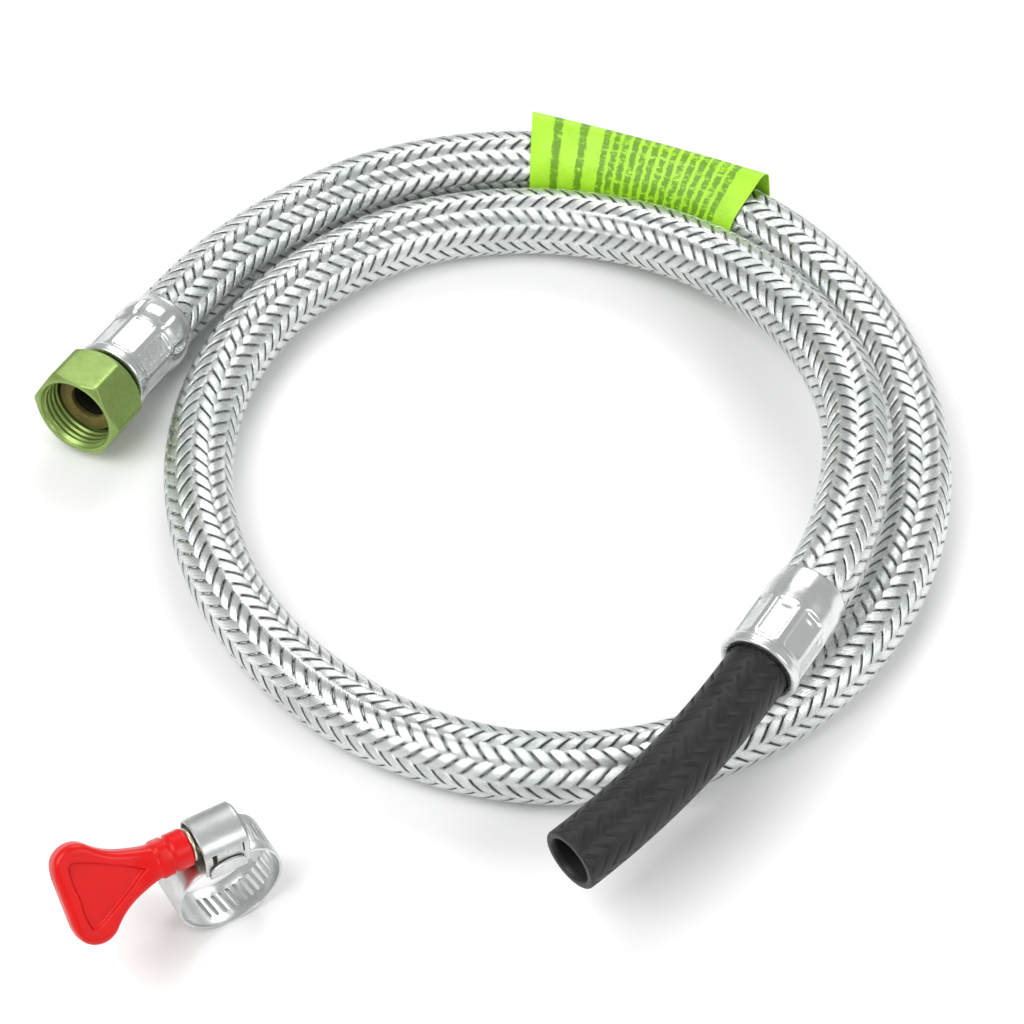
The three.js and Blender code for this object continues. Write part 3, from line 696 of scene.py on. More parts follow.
def weave_tree():
    """Lays a number of ribbons round a curve, each going over two and under two of the other hand."""
    group, tree, given, out = new_group("woven_ribbons", "GeometryNodeTree", [
        ("Geometry", "NodeSocketGeometry", None), ("Strands", "NodeSocketInt", STRANDS),
        ("Steps", "NodeSocketInt", 100), ("Hand", FLOAT, 1.0), ("Lay", FLOAT, 0.05),
        ("From", FLOAT, 0.0), ("To", FLOAT, 1.0), ("Radius", FLOAT, 0.009), ("Wave", FLOAT, 0.0002),
        ("Width", FLOAT, 0.003), ("Half Thickness", FLOAT, 0.0002), ("Material", "NodeSocketMaterial", None),
    ], [("Geometry", "NodeSocketGeometry")])
    links = group.links
    ribbon = tree.add("GeometryNodeMeshGrid", {
        "Size X": 1.0, "Size Y": 1.0, "Vertices X": given["Steps"], "Vertices Y": RIBBON_SIDES + 1})
    row = tree.add("GeometryNodeMeshLine", {"Count": given["Strands"], "Offset": (0.0, 0.0, 1.0)})
    spread = tree.add(
        "GeometryNodeInstanceOnPoints", {"Points": row.outputs[0], "Instance": ribbon.outputs[0]})
    flat = tree.add("GeometryNodeRealizeInstances", {"Geometry": spread.outputs[0]})

    x, y, strand = tree.parts(tree.add("GeometryNodeInputPosition").outputs[0])
    length = tree.minus(given["To"], given["From"])
    down = tree.math("MULTIPLY_ADD", tree.plus(x, 0.5), length, given["From"])
    round_ribbon = tree.times(y, TAU)
    lateral = tree.times(tree.cos(round_ribbon), 0.5)
    lift = tree.times(tree.sin(round_ribbon), given["Half Thickness"])
    uv = tree.whole(tree.over(down, MM), tree.plus(lateral, 0.5))
    marked = tree.add("GeometryNodeStoreNamedAttribute", {
        "Geometry": flat.outputs[0], "Name": "UVMap", "Value": uv}, data_type="FLOAT2", domain="CORNER")

    circumference = tree.times(given["Radius"], TAU)
    slope = tree.math("ARCTANGENT", tree.over(circumference, given["Lay"]))
    sideways = tree.times(lateral, given["Width"])
    back = tree.times(tree.times(sideways, tree.sin(slope)), given["Hand"])
    distance = tree.minus(down, back)
    own = tree.times(tree.over(strand, given["Strands"]), TAU)
    wound = tree.times(tree.over(down, given["Lay"]), tree.times(given["Hand"], TAU))
    aside = tree.over(tree.times(sideways, tree.cos(slope)), given["Radius"])
    angle = tree.plus(tree.plus(own, wound), aside)

    crossing = tree.times(angle, tree.over(given["Strands"], math.pi))
    wave = tree.cos(tree.times(tree.minus(crossing, 0.5), math.pi / 2))
    cube = tree.math("POWER", tree.absolute(wave), 3.0)
    cube = tree.times(cube, tree.math("SIGN", wave))
    level = tree.minus(tree.times(wave, 1.5), tree.times(cube, 0.5))
    height = tree.times(tree.times(level, given["Hand"]), given["Wave"])
    radius = tree.plus(tree.plus(given["Radius"], height), lift)

    sample = tree.add("GeometryNodeSampleCurve", {"Curves": given["Geometry"], "Length": distance},
                      mode="LENGTH", use_all_curves=True)
    across = sample.outputs["Normal"]
    other = tree.vector("CROSS_PRODUCT", sample.outputs["Tangent"], across)
    place = tree.vector(
        "ADD", sample.outputs["Position"],
        tree.vector("ADD", tree.scaled(across, tree.times(radius, tree.cos(angle))),
                    tree.scaled(other, tree.times(radius, tree.sin(angle)))))
    laid = tree.add("GeometryNodeSetPosition", {"Geometry": marked.outputs[0], "Position": place})
    closed = tree.add("GeometryNodeMergeByDistance", {"Geometry": laid.outputs[0], "Distance": 1e-6})
    soft = tree.add("GeometryNodeSetShadeSmooth", {"Geometry": closed.outputs[0]})
    finished = tree.add(
        "GeometryNodeSetMaterial", {"Geometry": soft.outputs[0], "Material": given["Material"]})
    links.new(finished.outputs[0], out["Geometry"])
    return group


def centreline():
    """The hose's route as a curve, for the braid to follow."""
    curve = bpy.data.curves.new("hose_route", "CURVE")
    curve.dimensions = "3D"
    spline = curve.splines.new("POLY")
    spline.points.add(len(route.line) - 1)
    spline.points.foreach_set("co", np.column_stack([route.line * MM, np.ones(len(route.line))]).ravel())
    return put("hose_route", curve)


def set_inputs(modifier, values):
    identifiers = {item.name: item.identifier for item in modifier.node_group.interface.items_tree
                   if item.in_out == "INPUT"}
    for name, value in values.items():
        modifier[identifiers[name]] = value


def braid():
    guide = centreline()
    weave = weave_tree()
    hands = []
    for name, hand in (("braid_right_lay", 1.0), ("braid_left_lay", -1.0)):
        modifier = guide.modifiers.new("weave", "NODES")
        modifier.node_group = weave
        set_inputs(modifier, {
            "Steps": RIBBON_STEPS, "Hand": hand, "Lay": LAY * MM, "From": (HOSE_FROM + 4) * MM,
            "To": (route.stub_from - 4) * MM, "Radius": BRAID_RADIUS * MM, "Wave": BRAID_WAVE * MM,
            "Width": RIBBON_WIDTH * MM, "Half Thickness": RIBBON_HALF_THICKNESS * MM, "Material": BRAID})
        guide.update_tag()
        graph = bpy.context.evaluated_depsgraph_get()
        graph.update()
        mesh = bpy.data.meshes.new_from_object(guide.evaluated_get(graph))
        guide.modifiers.clear()
        face_outwards(mesh)
        mesh.name = name
        hands.append(put(name, mesh))
    bpy.data.objects.remove(guide)
    return hands


# ---- nut end

def swivel_nut():
    """A hexagon nut, chamfered at both ends, with a helical thread behind its mouth."""
    sides = 240
    angle = full_turn(sides)
    from_face = (angle % (TAU / 6)) - TAU / 12
    hexagon = NUT_FACE / np.cos(from_face)

    def softly_less(first, second, blend=0.12):
        return (first + second - np.sqrt((first - second)**2 + blend**2)) / 2

    hexagon = softly_less(hexagon, NUT_CORNER, 0.2)[None]

    def outside(along):
        inset = np.minimum(along, (NUT_LENGTH - along) * NUT_CHAMFER / BACK_CHAMFER)
        envelope = NUT_FACE - 0.1 + (NUT_CORNER + 0.4 - NUT_FACE) * inset / NUT_CHAMFER
        return softly_less(hexagon, envelope)

    def threaded(along):
        phase = along / THREAD_PITCH - angle[None] / TAU
        ridge = zigzag(phase)
        cut = THREAD_MINOR + (THREAD_MAJOR - THREAD_MINOR) * np.clip(1.25 * ridge - 0.125, 0, 1)
        mouth = THREAD_MAJOR + 0.35 - 0.9 * smooth(0.2, 1.6, along)
        end = smooth(THREAD_TO - 0.8, THREAD_TO, along)
        return np.maximum(cut, mouth) * (1 - end) + THREAD_MAJOR * end

    ends = np.array([0.04, 0.15, 0.3, 0.5, 0.7, 0.9, 1.1, 1.3, 1.5, 1.8, 2.3])
    middle = np.linspace(3.5, NUT_LENGTH - 3.5, 8)
    along_out = np.concatenate([ends, middle, NUT_LENGTH - ends[::-1]])[:, None]
    along_in = np.linspace(THREAD_TO, 0.2, 56)[:, None]
    back = [(NUT_FACE - 0.4, NUT_LENGTH), (9.5, NUT_LENGTH), (NECK_RADIUS + 0.55, NUT_LENGTH),
            (NECK_RADIUS + 0.3, NUT_LENGTH - 0.25), (NECK_RADIUS + 0.3, NUT_WALL_FROM + 0.2),
            (NECK_RADIUS + 0.5, NUT_WALL_FROM), (THREAD_MAJOR - 0.2, NUT_WALL_FROM),
            (THREAD_MAJOR, NUT_WALL_FROM - 0.2)]
    back_radius, back_along = (np.array(column)[:, None] for column in zip(*back))
    full = np.ones((1, sides))
    radius = np.concatenate([
        THREAD_MAJOR + 0.55 + 0 * full, NUT_FACE - 0.45 + 0 * full, outside(along_out),
        back_radius * full, threaded(along_in)])
    along = np.concatenate([0 * full, 0 * full, along_out * full, back_along * full, along_in * full])
    return ring_solid("swivel_nut_body", nut_axis.place(radius, along, angle[None]), BRASS)


def flat_gasket():
    outer, inner = FLANGE_RADIUS, GASKET_BORE
    front, back = GASKET_FROM, FLANGE_FROM - 0.3
    return nut_axis.turned("gasket_ring", [
        (inner + 0.3, front), (outer - 0.3, front), (outer - 0.08, front + 0.08), (outer, front + 0.3),
        (outer, back - 0.2), (outer - 0.2, back), (inner + 0.2, back), (inner, back - 0.2),
        (inner, front + 0.3), (inner + 0.08, front + 0.08)], GASKET)


def hose_tail():
    flange, neck = FLANGE_RADIUS, NECK_RADIUS
    profile = [(TAIL_BORE + 0.4, FLANGE_FROM), (flange - 0.6, FLANGE_FROM), (flange, FLANGE_FROM + 0.6),
               (flange, NUT_WALL_FROM - 0.4), (flange - 0.1, NUT_WALL_FROM - 0.3),
               (neck + 0.3, NUT_WALL_FROM - 0.3),
               (neck, NUT_WALL_FROM), (neck, HOSE_FROM - 0.5), (neck - 0.2, HOSE_FROM - 0.3),
               (BARB_RADIUS - 0.7, HOSE_FROM - 0.3)]
    for barb in range(BARBS):
        foot = HOSE_FROM + 1 + barb * BARB_PITCH
        profile += [(BARB_RADIUS - 0.7, foot), (BARB_RADIUS - 0.05, foot + 0.3), (BARB_RADIUS, foot + 0.4),
                    (BARB_RADIUS - 0.7, foot + BARB_PITCH - 1)]
    tip = HOSE_FROM + 1 + BARBS * BARB_PITCH
    profile += [(TAIL_BORE + 0.5, tip), (TAIL_BORE, tip - 0.3), (TAIL_BORE, FLANGE_FROM + 0.4)]
    # The tail is painted near-black as shade for its deep bore and the neck seen behind the nut, not in brass
    # colour.
    return nut_axis.turned("hose_tail_body", profile, PAINTED_SHADE_BRASS, 72)


# ---- ferrules

def crimped_ferrule(name, axis, front, wall_radius, lobes, turn):
    """A sleeve pressed on in eight long flats, with round lobes behind them."""
    sides = 192
    angle = full_turn(sides)
    half_flat = math.pi / FERRULE_FLATS
    from_flat = (angle - turn + half_flat) % (2 * half_flat) - half_flat

    def outside(along):
        body = FERRULE_RADIUS - 0.15 * smooth(2.5, 4.0, along) + lobes * smooth(17, 20.5, along)
        body = body - (lobes + 0.62) * smooth(22.0, 28.0, along)
        lip = 0.5 * (1 - smooth(2.2, 3.1, along)) - 0.35 * (1 - smooth(0.0, 0.45, along))
        body = body + lip
        across = np.abs(from_flat[None]) * body
        past_end = np.maximum(np.abs(along - FLAT_MIDDLE) - FLAT_HALF_LENGTH, 0)
        rounded = np.hypot(np.maximum(across - 2.0, 0), past_end)
        pressed = 1 - smooth(0.65, 1.35, rounded)
        plane = FLAT_HEIGHT / np.cos(from_flat)[None]
        dimple = 0.22 * np.exp(-((across / 1.3)**2 + ((along - 15.2) / 0.55)**2))
        behind_flats = smooth(17, 19, along) * (1 - smooth(22, 26, along))
        groove = lobes * 0.8 * behind_flats * smooth(2.6, 3.9, across)
        return body - pressed * (body - plane) + dimple * pressed - groove

    along_out = np.concatenate([
        np.linspace(0, 3.2, 14), np.linspace(3.5, 18.5, 46), np.linspace(19, FERRULE_LENGTH, 20)])[:, None]
    outer = outside(along_out)
    along_in = np.linspace(FERRULE_LENGTH, 1.0, 14)[:, None]
    inner = np.maximum(outside(along_in) - 0.55, FERRULE_LINING)
    full = np.ones((1, sides))
    radius = np.concatenate([outer, inner, wall_radius * full, wall_radius * full])
    along = np.concatenate([along_out * full, along_in * full, 0.9 * full, 0 * full])
    return ring_solid(name, axis.place(radius, along + front, angle[None]), PRESSED_STEEL)


# ---- label

def label_sleeve():
    """A film loop round the hose, drawn up to a straight crest where its ends meet."""
    steps, arc_steps, crest_steps = 68, 48, 9
    distance = LABEL_FROM + np.linspace(0, LABEL_LENGTH, steps)
    centre = route.at(distance)
    side = unit(route.at(distance, route.outward))
    up = unit(route.at(distance, route.up))
    crest_ends = [route.around(distance[end], LABEL_CREST, LABEL_CREST_ANGLE) for end in (0, -1)]
    share = np.linspace(0, 1, steps)[:, None]
    crest = crest_ends[0] * (1 - share) + crest_ends[1] * share - centre
    crest_side = (crest * side).sum(axis=1)
    crest_up = (crest * up).sum(axis=1)
    crest_radius = np.hypot(crest_side, crest_up)
    heading = np.arctan2(crest_up, crest_side)

    def loop(radius, crest_curve, top):
        """One outline for each step along the sleeve: over the crest, round the hose, back to the crest."""
        reach = top - crest_curve
        spread = np.arccos((radius - crest_curve) / reach)[:, None]
        toward = heading[:, None]
        sweep = np.linspace(0, 1, arc_steps)
        angles = toward + spread + (TAU - 2 * spread) * sweep
        arc = radius * np.stack([np.cos(angles), np.sin(angles)], axis=-1)
        middle = np.stack([reach * np.cos(heading), reach * np.sin(heading)], axis=-1)[:, None]
        bend = np.linspace(0, 1, crest_steps)
        crest_arcs = [middle + crest_curve * np.stack([np.cos(turn), np.sin(turn)], axis=-1)
                      for turn in (toward + spread * bend, toward - spread * bend[:0:-1])]
        flat = np.concatenate([crest_arcs[0], arc, crest_arcs[1]], axis=1)
        return centre[:, None] + flat[..., :1] * side[:, None] + flat[..., 1:] * up[:, None]

    outside = loop(LABEL_RADIUS + FILM, CREST_CURVE + FILM, crest_radius + FILM)
    inside = loop(LABEL_RADIUS, CREST_CURVE, crest_radius)
    rings = np.concatenate([outside, inside[::-1]])
    piece = ring_solid("label_film", rings, LABEL)
    columns = rings.shape[1]
    along = np.concatenate([distance, distance[::-1]]) - LABEL_FROM
    around = np.concatenate([[0], np.cumsum(np.linalg.norm(np.diff(outside[0], axis=0), axis=1))])
    uv = piece.data.uv_layers.new(name="UVMap")
    corner = np.empty(len(piece.data.loops), int)
    piece.data.loops.foreach_get("vertex_index", corner)
    uv.data.foreach_set("uv", np.column_stack([along[corner // columns], around[corner % columns]]).ravel())
    piece.data.set_sharp_from_angle(angle=math.radians(50))
    return piece


# ---- clamp

CLAMP_ALONG = np.array([math.cos(CLAMP_YAW), math.sin(CLAMP_YAW), 0])
CLAMP_ACROSS = np.array([-math.sin(CLAMP_YAW), math.cos(CLAMP_YAW), 0])
UPWARD = np.array([0.0, 0.0, 1.0])


def on_clamp(x, y, z):
    x, y, z = np.broadcast_arrays(x, y, z)
    return CLAMP_PLACE + x[..., None] * CLAMP_ALONG + y[..., None] * CLAMP_ACROSS + z[..., None] * UPWARD


def arc(centre_x, centre_z, radius, start, stop):
    angle = np.linspace(start, stop, max(3, math.ceil(abs(stop - start) * radius / 0.35)))
    return np.column_stack([centre_x + radius * np.cos(angle), centre_z + radius * np.sin(angle)])


def layer_turn(flat, corner):
    return math.asin(flat / (RING_RADIUS - corner))


def layer_top(flat, corner):
    return corner + (RING_RADIUS - corner) * math.cos(layer_turn(flat, corner))


TAIL_TOP = layer_top(TAIL_FLAT, TAIL_CORNER)
HEAD_TOP = layer_top(HEAD_FLAT, HEAD_CORNER)
FEED_PIVOT = math.pi / 2 - layer_turn(TAIL_FLAT, TAIL_CORNER)
FLEX = math.radians(10)
SPLIT = 0.0


def without_repeats(line):
    keep = np.concatenate([[True], np.linalg.norm(np.diff(line, axis=0), axis=1) > 0.02])
    return line[keep]


def band_line():
    """The whole strip from its tail's tip, round the ring, to its head's tip."""
    head_angle = math.pi / 2 + layer_turn(HEAD_FLAT, HEAD_CORNER) - TAU
    tail_run = np.column_stack([np.linspace(TAIL_TIP_X, TAIL_FLAT, 31), np.full(31, TAIL_TOP)])
    head_run = np.column_stack([np.linspace(-HEAD_FLAT, HEAD_TIP_X, 23), np.full(23, HEAD_TOP)])
    return without_repeats(np.concatenate([
        tail_run,
        arc(TAIL_FLAT, TAIL_TOP - TAIL_CORNER, TAIL_CORNER, math.pi / 2, FEED_PIVOT),
        arc(0, 0, RING_RADIUS, FEED_PIVOT, head_angle),
        arc(-HEAD_FLAT, HEAD_TOP - HEAD_CORNER, HEAD_CORNER, head_angle + TAU, math.pi / 2),
        head_run,
    ]))


BAND_LINE = band_line()
BAND_DISTANCE = np.concatenate([[0], np.cumsum(np.linalg.norm(np.diff(BAND_LINE, axis=0), axis=1))])


def band_place(distance, y):
    x = np.interp(distance, BAND_DISTANCE, BAND_LINE[:, 0])
    z = np.interp(distance, BAND_DISTANCE, BAND_LINE[:, 1])
    return on_clamp(x, y, z)


def ring_distance(angle):
    """How far along the strip a place on the ring lies."""
    start = np.array([math.cos(FEED_PIVOT), math.sin(FEED_PIVOT)]) * RING_RADIUS
    begin = BAND_DISTANCE[np.argmin(np.linalg.norm(BAND_LINE - start, axis=1))]
    return begin + (FEED_PIVOT - angle) * RING_RADIUS


def band_strip(name, start, stop):
    """A length of the band with its slots left open, thickened and edge-broken."""
    slots_to = ring_distance(SLOTS_TO)
    half = BAND_WIDTH / 2
    slot_end = SLOT_HALF_LENGTH - 0.45
    columns = np.array([-half, -4.5, -SLOT_HALF_LENGTH, -slot_end, 0, slot_end, SLOT_HALF_LENGTH, 4.5, half])
    pinch = np.array([1, 1, 0.35, 1, 1, 1, 0.35, 1, 1])
    rows = [np.full(9, start)]
    slot_after = []
    centre = SLOT_PITCH * math.ceil((start + SLOT_HALF_WIDTH + 0.3) / SLOT_PITCH)
    reach = np.abs(columns) <= SLOT_HALF_LENGTH
    while centre < min(stop - SLOT_HALF_WIDTH - 0.3, slots_to):
        slanted = centre + SLOT_SLANT * np.where(reach, columns, 0)
        rows.append(slanted - SLOT_HALF_WIDTH * pinch)
        slot_after.append(len(rows) - 1)
        rows.append(slanted + SLOT_HALF_WIDTH * pinch)
        centre += SLOT_PITCH
    last = rows[-1].mean()
    plain = max(1, math.ceil((stop - last) / 0.7))
    rows += [np.full(9, last + (stop - last) * step / plain) for step in range(1, plain + 1)]
    along = np.array(rows)
    points = band_place(along, np.broadcast_to(columns, along.shape))
    faces = grid_faces(*along.shape)
    row, column = np.divmod(np.arange(len(faces)), len(columns) - 1)
    open_slot = np.isin(row, slot_after) & (column >= 2) & (column <= 5)
    piece = new_piece(name, points, faces[~open_slot], STRIP)
    return sheet_metal(piece, BAND_THICKNESS, 0.1)


def on_ring(angle):
    return on_clamp(RING_RADIUS * math.cos(angle), 0, RING_RADIUS * math.sin(angle)) * MM


def clamp_band():
    head = band_strip("band_head_strip", ring_distance(CLOSE_PIVOT - FLEX), BAND_DISTANCE[-1])
    side = band_strip("band_side_strip", ring_distance(SPLIT), ring_distance(CLOSE_PIVOT - FLEX))
    tail = band_strip("band_tail_strip", 0, ring_distance(SPLIT))
    return head, side, tail


def housing_outline():
    """The screw cover's section, from one skirt's foot over the arch to the other's."""
    arch = np.linspace(0, math.pi, 41)
    skirt = np.linspace(SKIRT_FOOT, ARCH_HEIGHT, 8, endpoint=False)
    return np.concatenate([
        np.column_stack([np.full(8, HOUSING_HALF_WIDTH), skirt]),
        np.column_stack([HOUSING_HALF_WIDTH * np.cos(arch), ARCH_HEIGHT + HOUSING_RISE * np.sin(arch)]),
        np.column_stack([np.full(8, -HOUSING_HALF_WIDTH), skirt[::-1]]),
    ])


def cut(piece, low, high):
    """Takes a box out of a piece."""
    points = on_clamp(*np.array(list(product(*zip(low, high)))).T)
    faces = [(0, 1, 3, 2), (4, 6, 7, 5), (0, 4, 5, 1), (2, 3, 7, 6), (0, 2, 6, 4), (1, 5, 7, 3)]
    cutter = new_piece("cutter", points, faces, HOUSING)
    opening = piece.modifiers.new("opening", "BOOLEAN")
    opening.operation = "DIFFERENCE"
    opening.solver = "EXACT"
    opening.object = cutter
    evaluated(piece)
    bpy.data.objects.remove(cutter)


def screw_housing():
    """The rolled cover over the worm, closed at its far end, with a window and a slit in one side."""
    outline = housing_outline()
    rim = np.linspace(0, math.pi / 2, 5)[1:]
    inward = np.array([0.7, 0.45, 0.2])
    x = np.concatenate([np.linspace(-HOUSING_HALF, HOUSING_HALF - 0.9, 22),
                        HOUSING_HALF - 0.3 - 0.6 * np.cos(rim)])
    x = np.concatenate([x, np.full(3, x[-1] + 0.02)])
    shrink = np.concatenate([np.ones(22), 1 - 0.12 * np.sin(rim)**2, inward])[:, None]
    height = outline[None, :, 1]
    y = outline[None, :, 0] * shrink
    z = np.where(height > ARCH_HEIGHT, ARCH_HEIGHT + (height - ARCH_HEIGHT) * shrink, height)
    low_end = np.clip((x[:, None] - (HOUSING_HALF - 0.9)) / 0.9, 0, 1)
    foot = TAIL_TOP + 1.3
    z = np.maximum(z, z * (1 - low_end) + foot * low_end * (z < foot) + z * low_end * (z >= foot))
    points = on_clamp(x[:, None], y, z)
    piece = new_piece("screw_housing", points, grid_faces(len(x), outline.shape[0]), HOUSING)
    sheet_metal(piece, SHEET, 0.1)
    cut(piece, *WINDOW)
    cut(piece, *SLIT)
    piece.data.set_sharp_from_angle(angle=SHARP_ANGLE)
    return piece


def saddle():
    """The sheet under the ring's top, folded up in a round tab on each side of the housing."""
    inner = HOUSING_HALF_WIDTH + SHEET + 0.3
    middle, half_length, shoulder, crown = -0.5, 4.9, 12.0, 2.6
    floor, bend = 9.65, 0.7
    x = np.linspace(middle - half_length, middle + half_length, 30)
    share = (x - middle) / half_length
    tab_top = shoulder + crown * np.sqrt(np.clip(1 - share**2, 0, 1))
    rows = []
    for top in tab_top:
        fold = np.linspace(math.pi, 1.5 * math.pi, 6)
        left = [(-inner, z) for z in np.linspace(top, floor + bend, 8, endpoint=False)]
        corner = [(-inner + bend + bend * math.cos(a), floor + bend + bend * math.sin(a)) for a in fold]
        half = left + corner
        base = [(y, floor) for y in np.linspace(-inner + bend, inner - bend, 10)[1:-1]]
        rows.append(half + base + [(-y, z) for y, z in half[::-1]])
    section = np.array(rows)
    points = on_clamp(x[:, None], section[..., 0], section[..., 1])
    piece = new_piece("saddle_sheet", points, grid_faces(*section.shape[:2]), HOUSING)
    return sheet_metal(piece, SHEET, 0.12)


def screw_solid(name, radius, along, angle, material):
    """A solid turned about the screw's axis, with flat ends."""
    rings = on_clamp(along, radius * np.cos(angle), SCREW_HEIGHT + radius * np.sin(angle))
    return ring_solid(name, rings, material)


def worm_screw():
    sides = 72
    angle = full_turn(sides)[None]
    full = np.ones((1, sides))
    head = [(3.1, -13), (3.3, -12.8), (3.3, -7.8), (4.1, -7.7), (4.3, -7.5), (4.3, -6.9),
            (4.1, -6.7), (2.8, -6.7)]
    head_radius, head_along = (np.array(column)[:, None] * full for column in zip(*head))
    along = np.linspace(-5.6, 5.2, 110)[:, None]
    phase = along / SLOT_PITCH - angle / TAU
    ridge = zigzag(phase)
    ends = smooth(-5.6, -5.0, along) * (1 - smooth(4.6, 5.2, along))
    worm = 2.8 + 0.95 * np.clip(1.6 * ridge - 0.35, 0, 1) * ends
    radius = np.concatenate([0.05 * full, head_radius, worm, 0.05 * full])
    places = np.concatenate([-13 * full, head_along, along * full, 5.3 * full])
    return screw_solid("worm_screw_body", radius, places, angle, ZINC)


def key_width(u):
    """Half the key's width at a distance u from its collar's end: neck, sweep, then two round lobes."""
    (lobe_u, lobe_v), lobe = KEY_LOBE_PLACE, KEY_LOBE_RADIUS
    tangent = lobe * math.sqrt(0.5)
    foot = np.array([lobe_u - tangent, lobe_v + tangent])
    t = np.linspace(0, 1, 60)[:, None]
    handles = [np.array([8, 4.5]), np.array([15, 5.2]), foot - (3.6, 3.9), foot]
    sweep = sum(math.comb(3, k) * (1 - t)**(3 - k) * t**k * handle for k, handle in enumerate(handles))
    turn = np.linspace(0.74 * math.pi, 0, 40)
    lobes = np.column_stack([lobe_u + lobe * np.cos(turn), lobe_v + lobe * np.sin(turn)])
    line = np.concatenate([sweep, lobes])
    return np.interp(u, line[:, 0], line[:, 1])


def rounded_bar(half_width, half_thickness, edge, flat_steps=84, corner_steps=10):
    """A bar's section with round edges: a run of points from one side, over the top, and back under."""
    turn = np.linspace(0, math.pi / 2, corner_steps, endpoint=False)
    across = half_width - edge
    corner = np.column_stack([across + edge * np.cos(turn), half_thickness - edge + edge * np.sin(turn)])
    top = np.column_stack([np.linspace(across, -across, flat_steps, endpoint=False),
                           np.full(flat_steps, half_thickness)])
    other = np.column_stack([-across - edge * np.sin(turn), half_thickness - edge + edge * np.cos(turn)])
    down = np.linspace(half_thickness - edge, 0, 4, endpoint=False)
    side = np.column_stack([np.full(4, -half_width), down])
    half = np.concatenate([corner, top, other, side])
    return np.concatenate([half, -half])


def recess(u, v):
    """How deep the sunk triangle is at a place on the wing, from 0 to 1."""
    slope = math.radians(29)
    sides = (u - 10.6) * math.sin(slope) - np.abs(v) * math.cos(slope)
    back = 30.3 - u
    inside = (sides + back - np.sqrt((sides - back)**2 + 5.0)) / 2 - 0.35 * np.exp(-(v / 2.2)**2)
    return smooth(0.0, 0.55, inside)


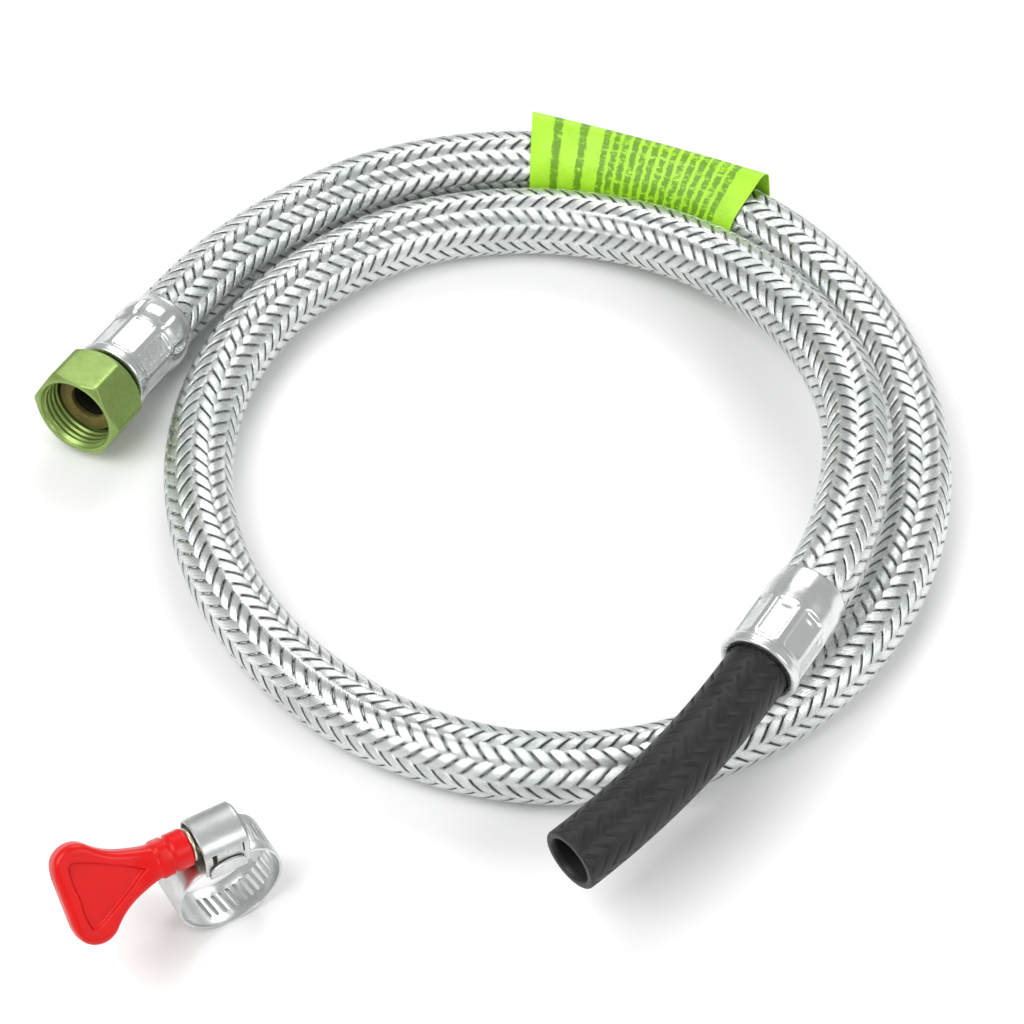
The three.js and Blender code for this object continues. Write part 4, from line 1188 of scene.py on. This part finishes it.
def wing_key():
    """The moulded key: a round-edged wing with a sunk triangle each side, a neck and a collar."""
    lobe_from = KEY_LOBE_PLACE[0]
    lobe_end = lobe_from + KEY_LOBE_RADIUS * np.sin(np.linspace(0.05, math.pi / 2, 36))
    u = np.concatenate([[0.0, 0.0, 0.12, 0.4], np.linspace(0.8, 4.4, 8), [4.75, 4.85, 5.1],
                        np.linspace(5.5, lobe_from, 74), lobe_end])
    collar = KEY_COLLAR_RADIUS - 0.3 * (1 - smooth(0, 0.4, u)) - 0.5 * smooth(4.4, 4.85, u)
    collar[0] = KEY_BORE_RADIUS
    step_block = 0.35 * smooth(5.0, 5.3, u) * (1 - smooth(8.0, 8.6, u))
    to_wing = smooth(6.0, 14.5, u)
    to_end = np.clip((KEY_LENGTH - u) / 1.9, 0, 1)
    tip = np.sqrt(np.clip(1 - (1 - to_end)**2, 0, 1))
    rings = []
    for place, radius, block, share, rounding in zip(u, collar, step_block, to_wing, tip):
        width = max(key_width(place), 4.5) - 0.6 * (1 - rounding)
        thickness = 4.2 + (KEY_THICKNESS / 2 - 4.2) * share - 1.9 * (1 - rounding)
        bar = rounded_bar(width + block, thickness + block, min(1.9, thickness * 0.9))
        turn = np.linspace(0, TAU, len(bar), endpoint=False)
        spread = np.unwrap(np.arctan2(bar[:, 1], bar[:, 0])) if share < 1 else turn
        circle = radius * np.column_stack([np.cos(spread), np.sin(spread)])
        blended = circle * (1 - share) + bar * share
        if 5.0 < place < 8.6:
            square = smooth(5.0, 5.3, place) * 0.55
            blended = blended * (1 - square) + bar * square
        depth = KEY_RECESS * recess(place, blended[:, 0]) * (np.abs(blended[:, 1]) > thickness * 0.6)
        blended[:, 1] -= np.sign(blended[:, 1]) * depth
        rings.append(blended)
    rings = np.array(rings)
    bore = KEY_BORE_RADIUS * unit(rings[:1])
    floor = bore * 0.02
    cap = rings[-1:] * (1.0, 0.02)
    rings = np.concatenate([floor, bore, rings, cap])
    along = np.concatenate([[KEY_BORE_LENGTH] * 2, u, [KEY_LENGTH]])
    flat, across = rings[..., 1], rings[..., 0]
    points = on_clamp(
        KEY_END_X - along[:, None], flat * math.cos(KEY_TURN) - across * math.sin(KEY_TURN),
        SCREW_HEIGHT + flat * math.sin(KEY_TURN) + across * math.cos(KEY_TURN))
    rows, columns = rings.shape[:2]
    faces = grid_faces(rows, columns, False, True).tolist()
    ends = [list(range(columns)), list(range((rows - 1) * columns, rows * columns))]
    return new_piece("wing_key_body", points, faces + ends, RED)


# ---- assembly

studio()
hose = rubber_hose()
right_lay, left_lay = braid()
nut = swivel_nut()
gasket = flat_gasket()
tail = hose_tail()
nut_ferrule = crimped_ferrule(
    "nut_ferrule", nut_axis, NUT_FERRULE_FROM, NECK_RADIUS + 0.3, NUT_FERRULE_BULGE, 0.2)
stub_ferrule = crimped_ferrule(
    "stub_ferrule", stub_axis, 0, RUBBER_RADIUS + 0.3, STUB_FERRULE_BULGE, 0.74)
label = label_sleeve()
head, side, tail_strip = clamp_band()
housing = screw_housing()
saddle_piece = saddle()
screw = worm_screw()
key = wing_key()

standing_for = [
    (hose, "hose", "rubber", ["inner_hose"]),
    (right_lay, "hose", "braid_wire", ["wire_braid"]),
    (left_lay, "hose", "braid_wire", []),
    (gasket, "hose", "gasket", ["flat_gasket"]),
    (tail, "hose", "brass", ["hose_tail"]),
    (nut_ferrule, "hose", "ferrule_steel", ["ferrule_nut_end"]),
    (stub_ferrule, "hose", "ferrule_steel", ["ferrule_stub_end"]),
    (nut, "nut", "brass", ["swivel_nut"]),
    (label, "label", "label", ["label_sleeve"]),
    (housing, "clamp", "clamp_steel", ["clamp_housing"]),
    (saddle_piece, "clamp", "clamp_steel", ["clamp_saddle"]),
    (head, "clamp", "clamp_steel", ["band_head"]),
    (screw, "screw", "zinc", ["worm_screw"]),
    (key, "screw", "key_red", ["wing_key"]),
]
for piece, body, finish, nodes in standing_for:
    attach(piece, body)
    if nodes:
        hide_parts(*nodes)
on_ring(CLOSE_PIVOT + FLEX)
on_ring(CLOSE_PIVOT - FLEX)
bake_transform(side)
on_ring(FEED_PIVOT - FLEX)
on_ring(FEED_PIVOT + FLEX)
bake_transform(tail_strip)
for piece, node in ((side, "band_side"), (tail_strip, "band_tail")):
    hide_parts(node)
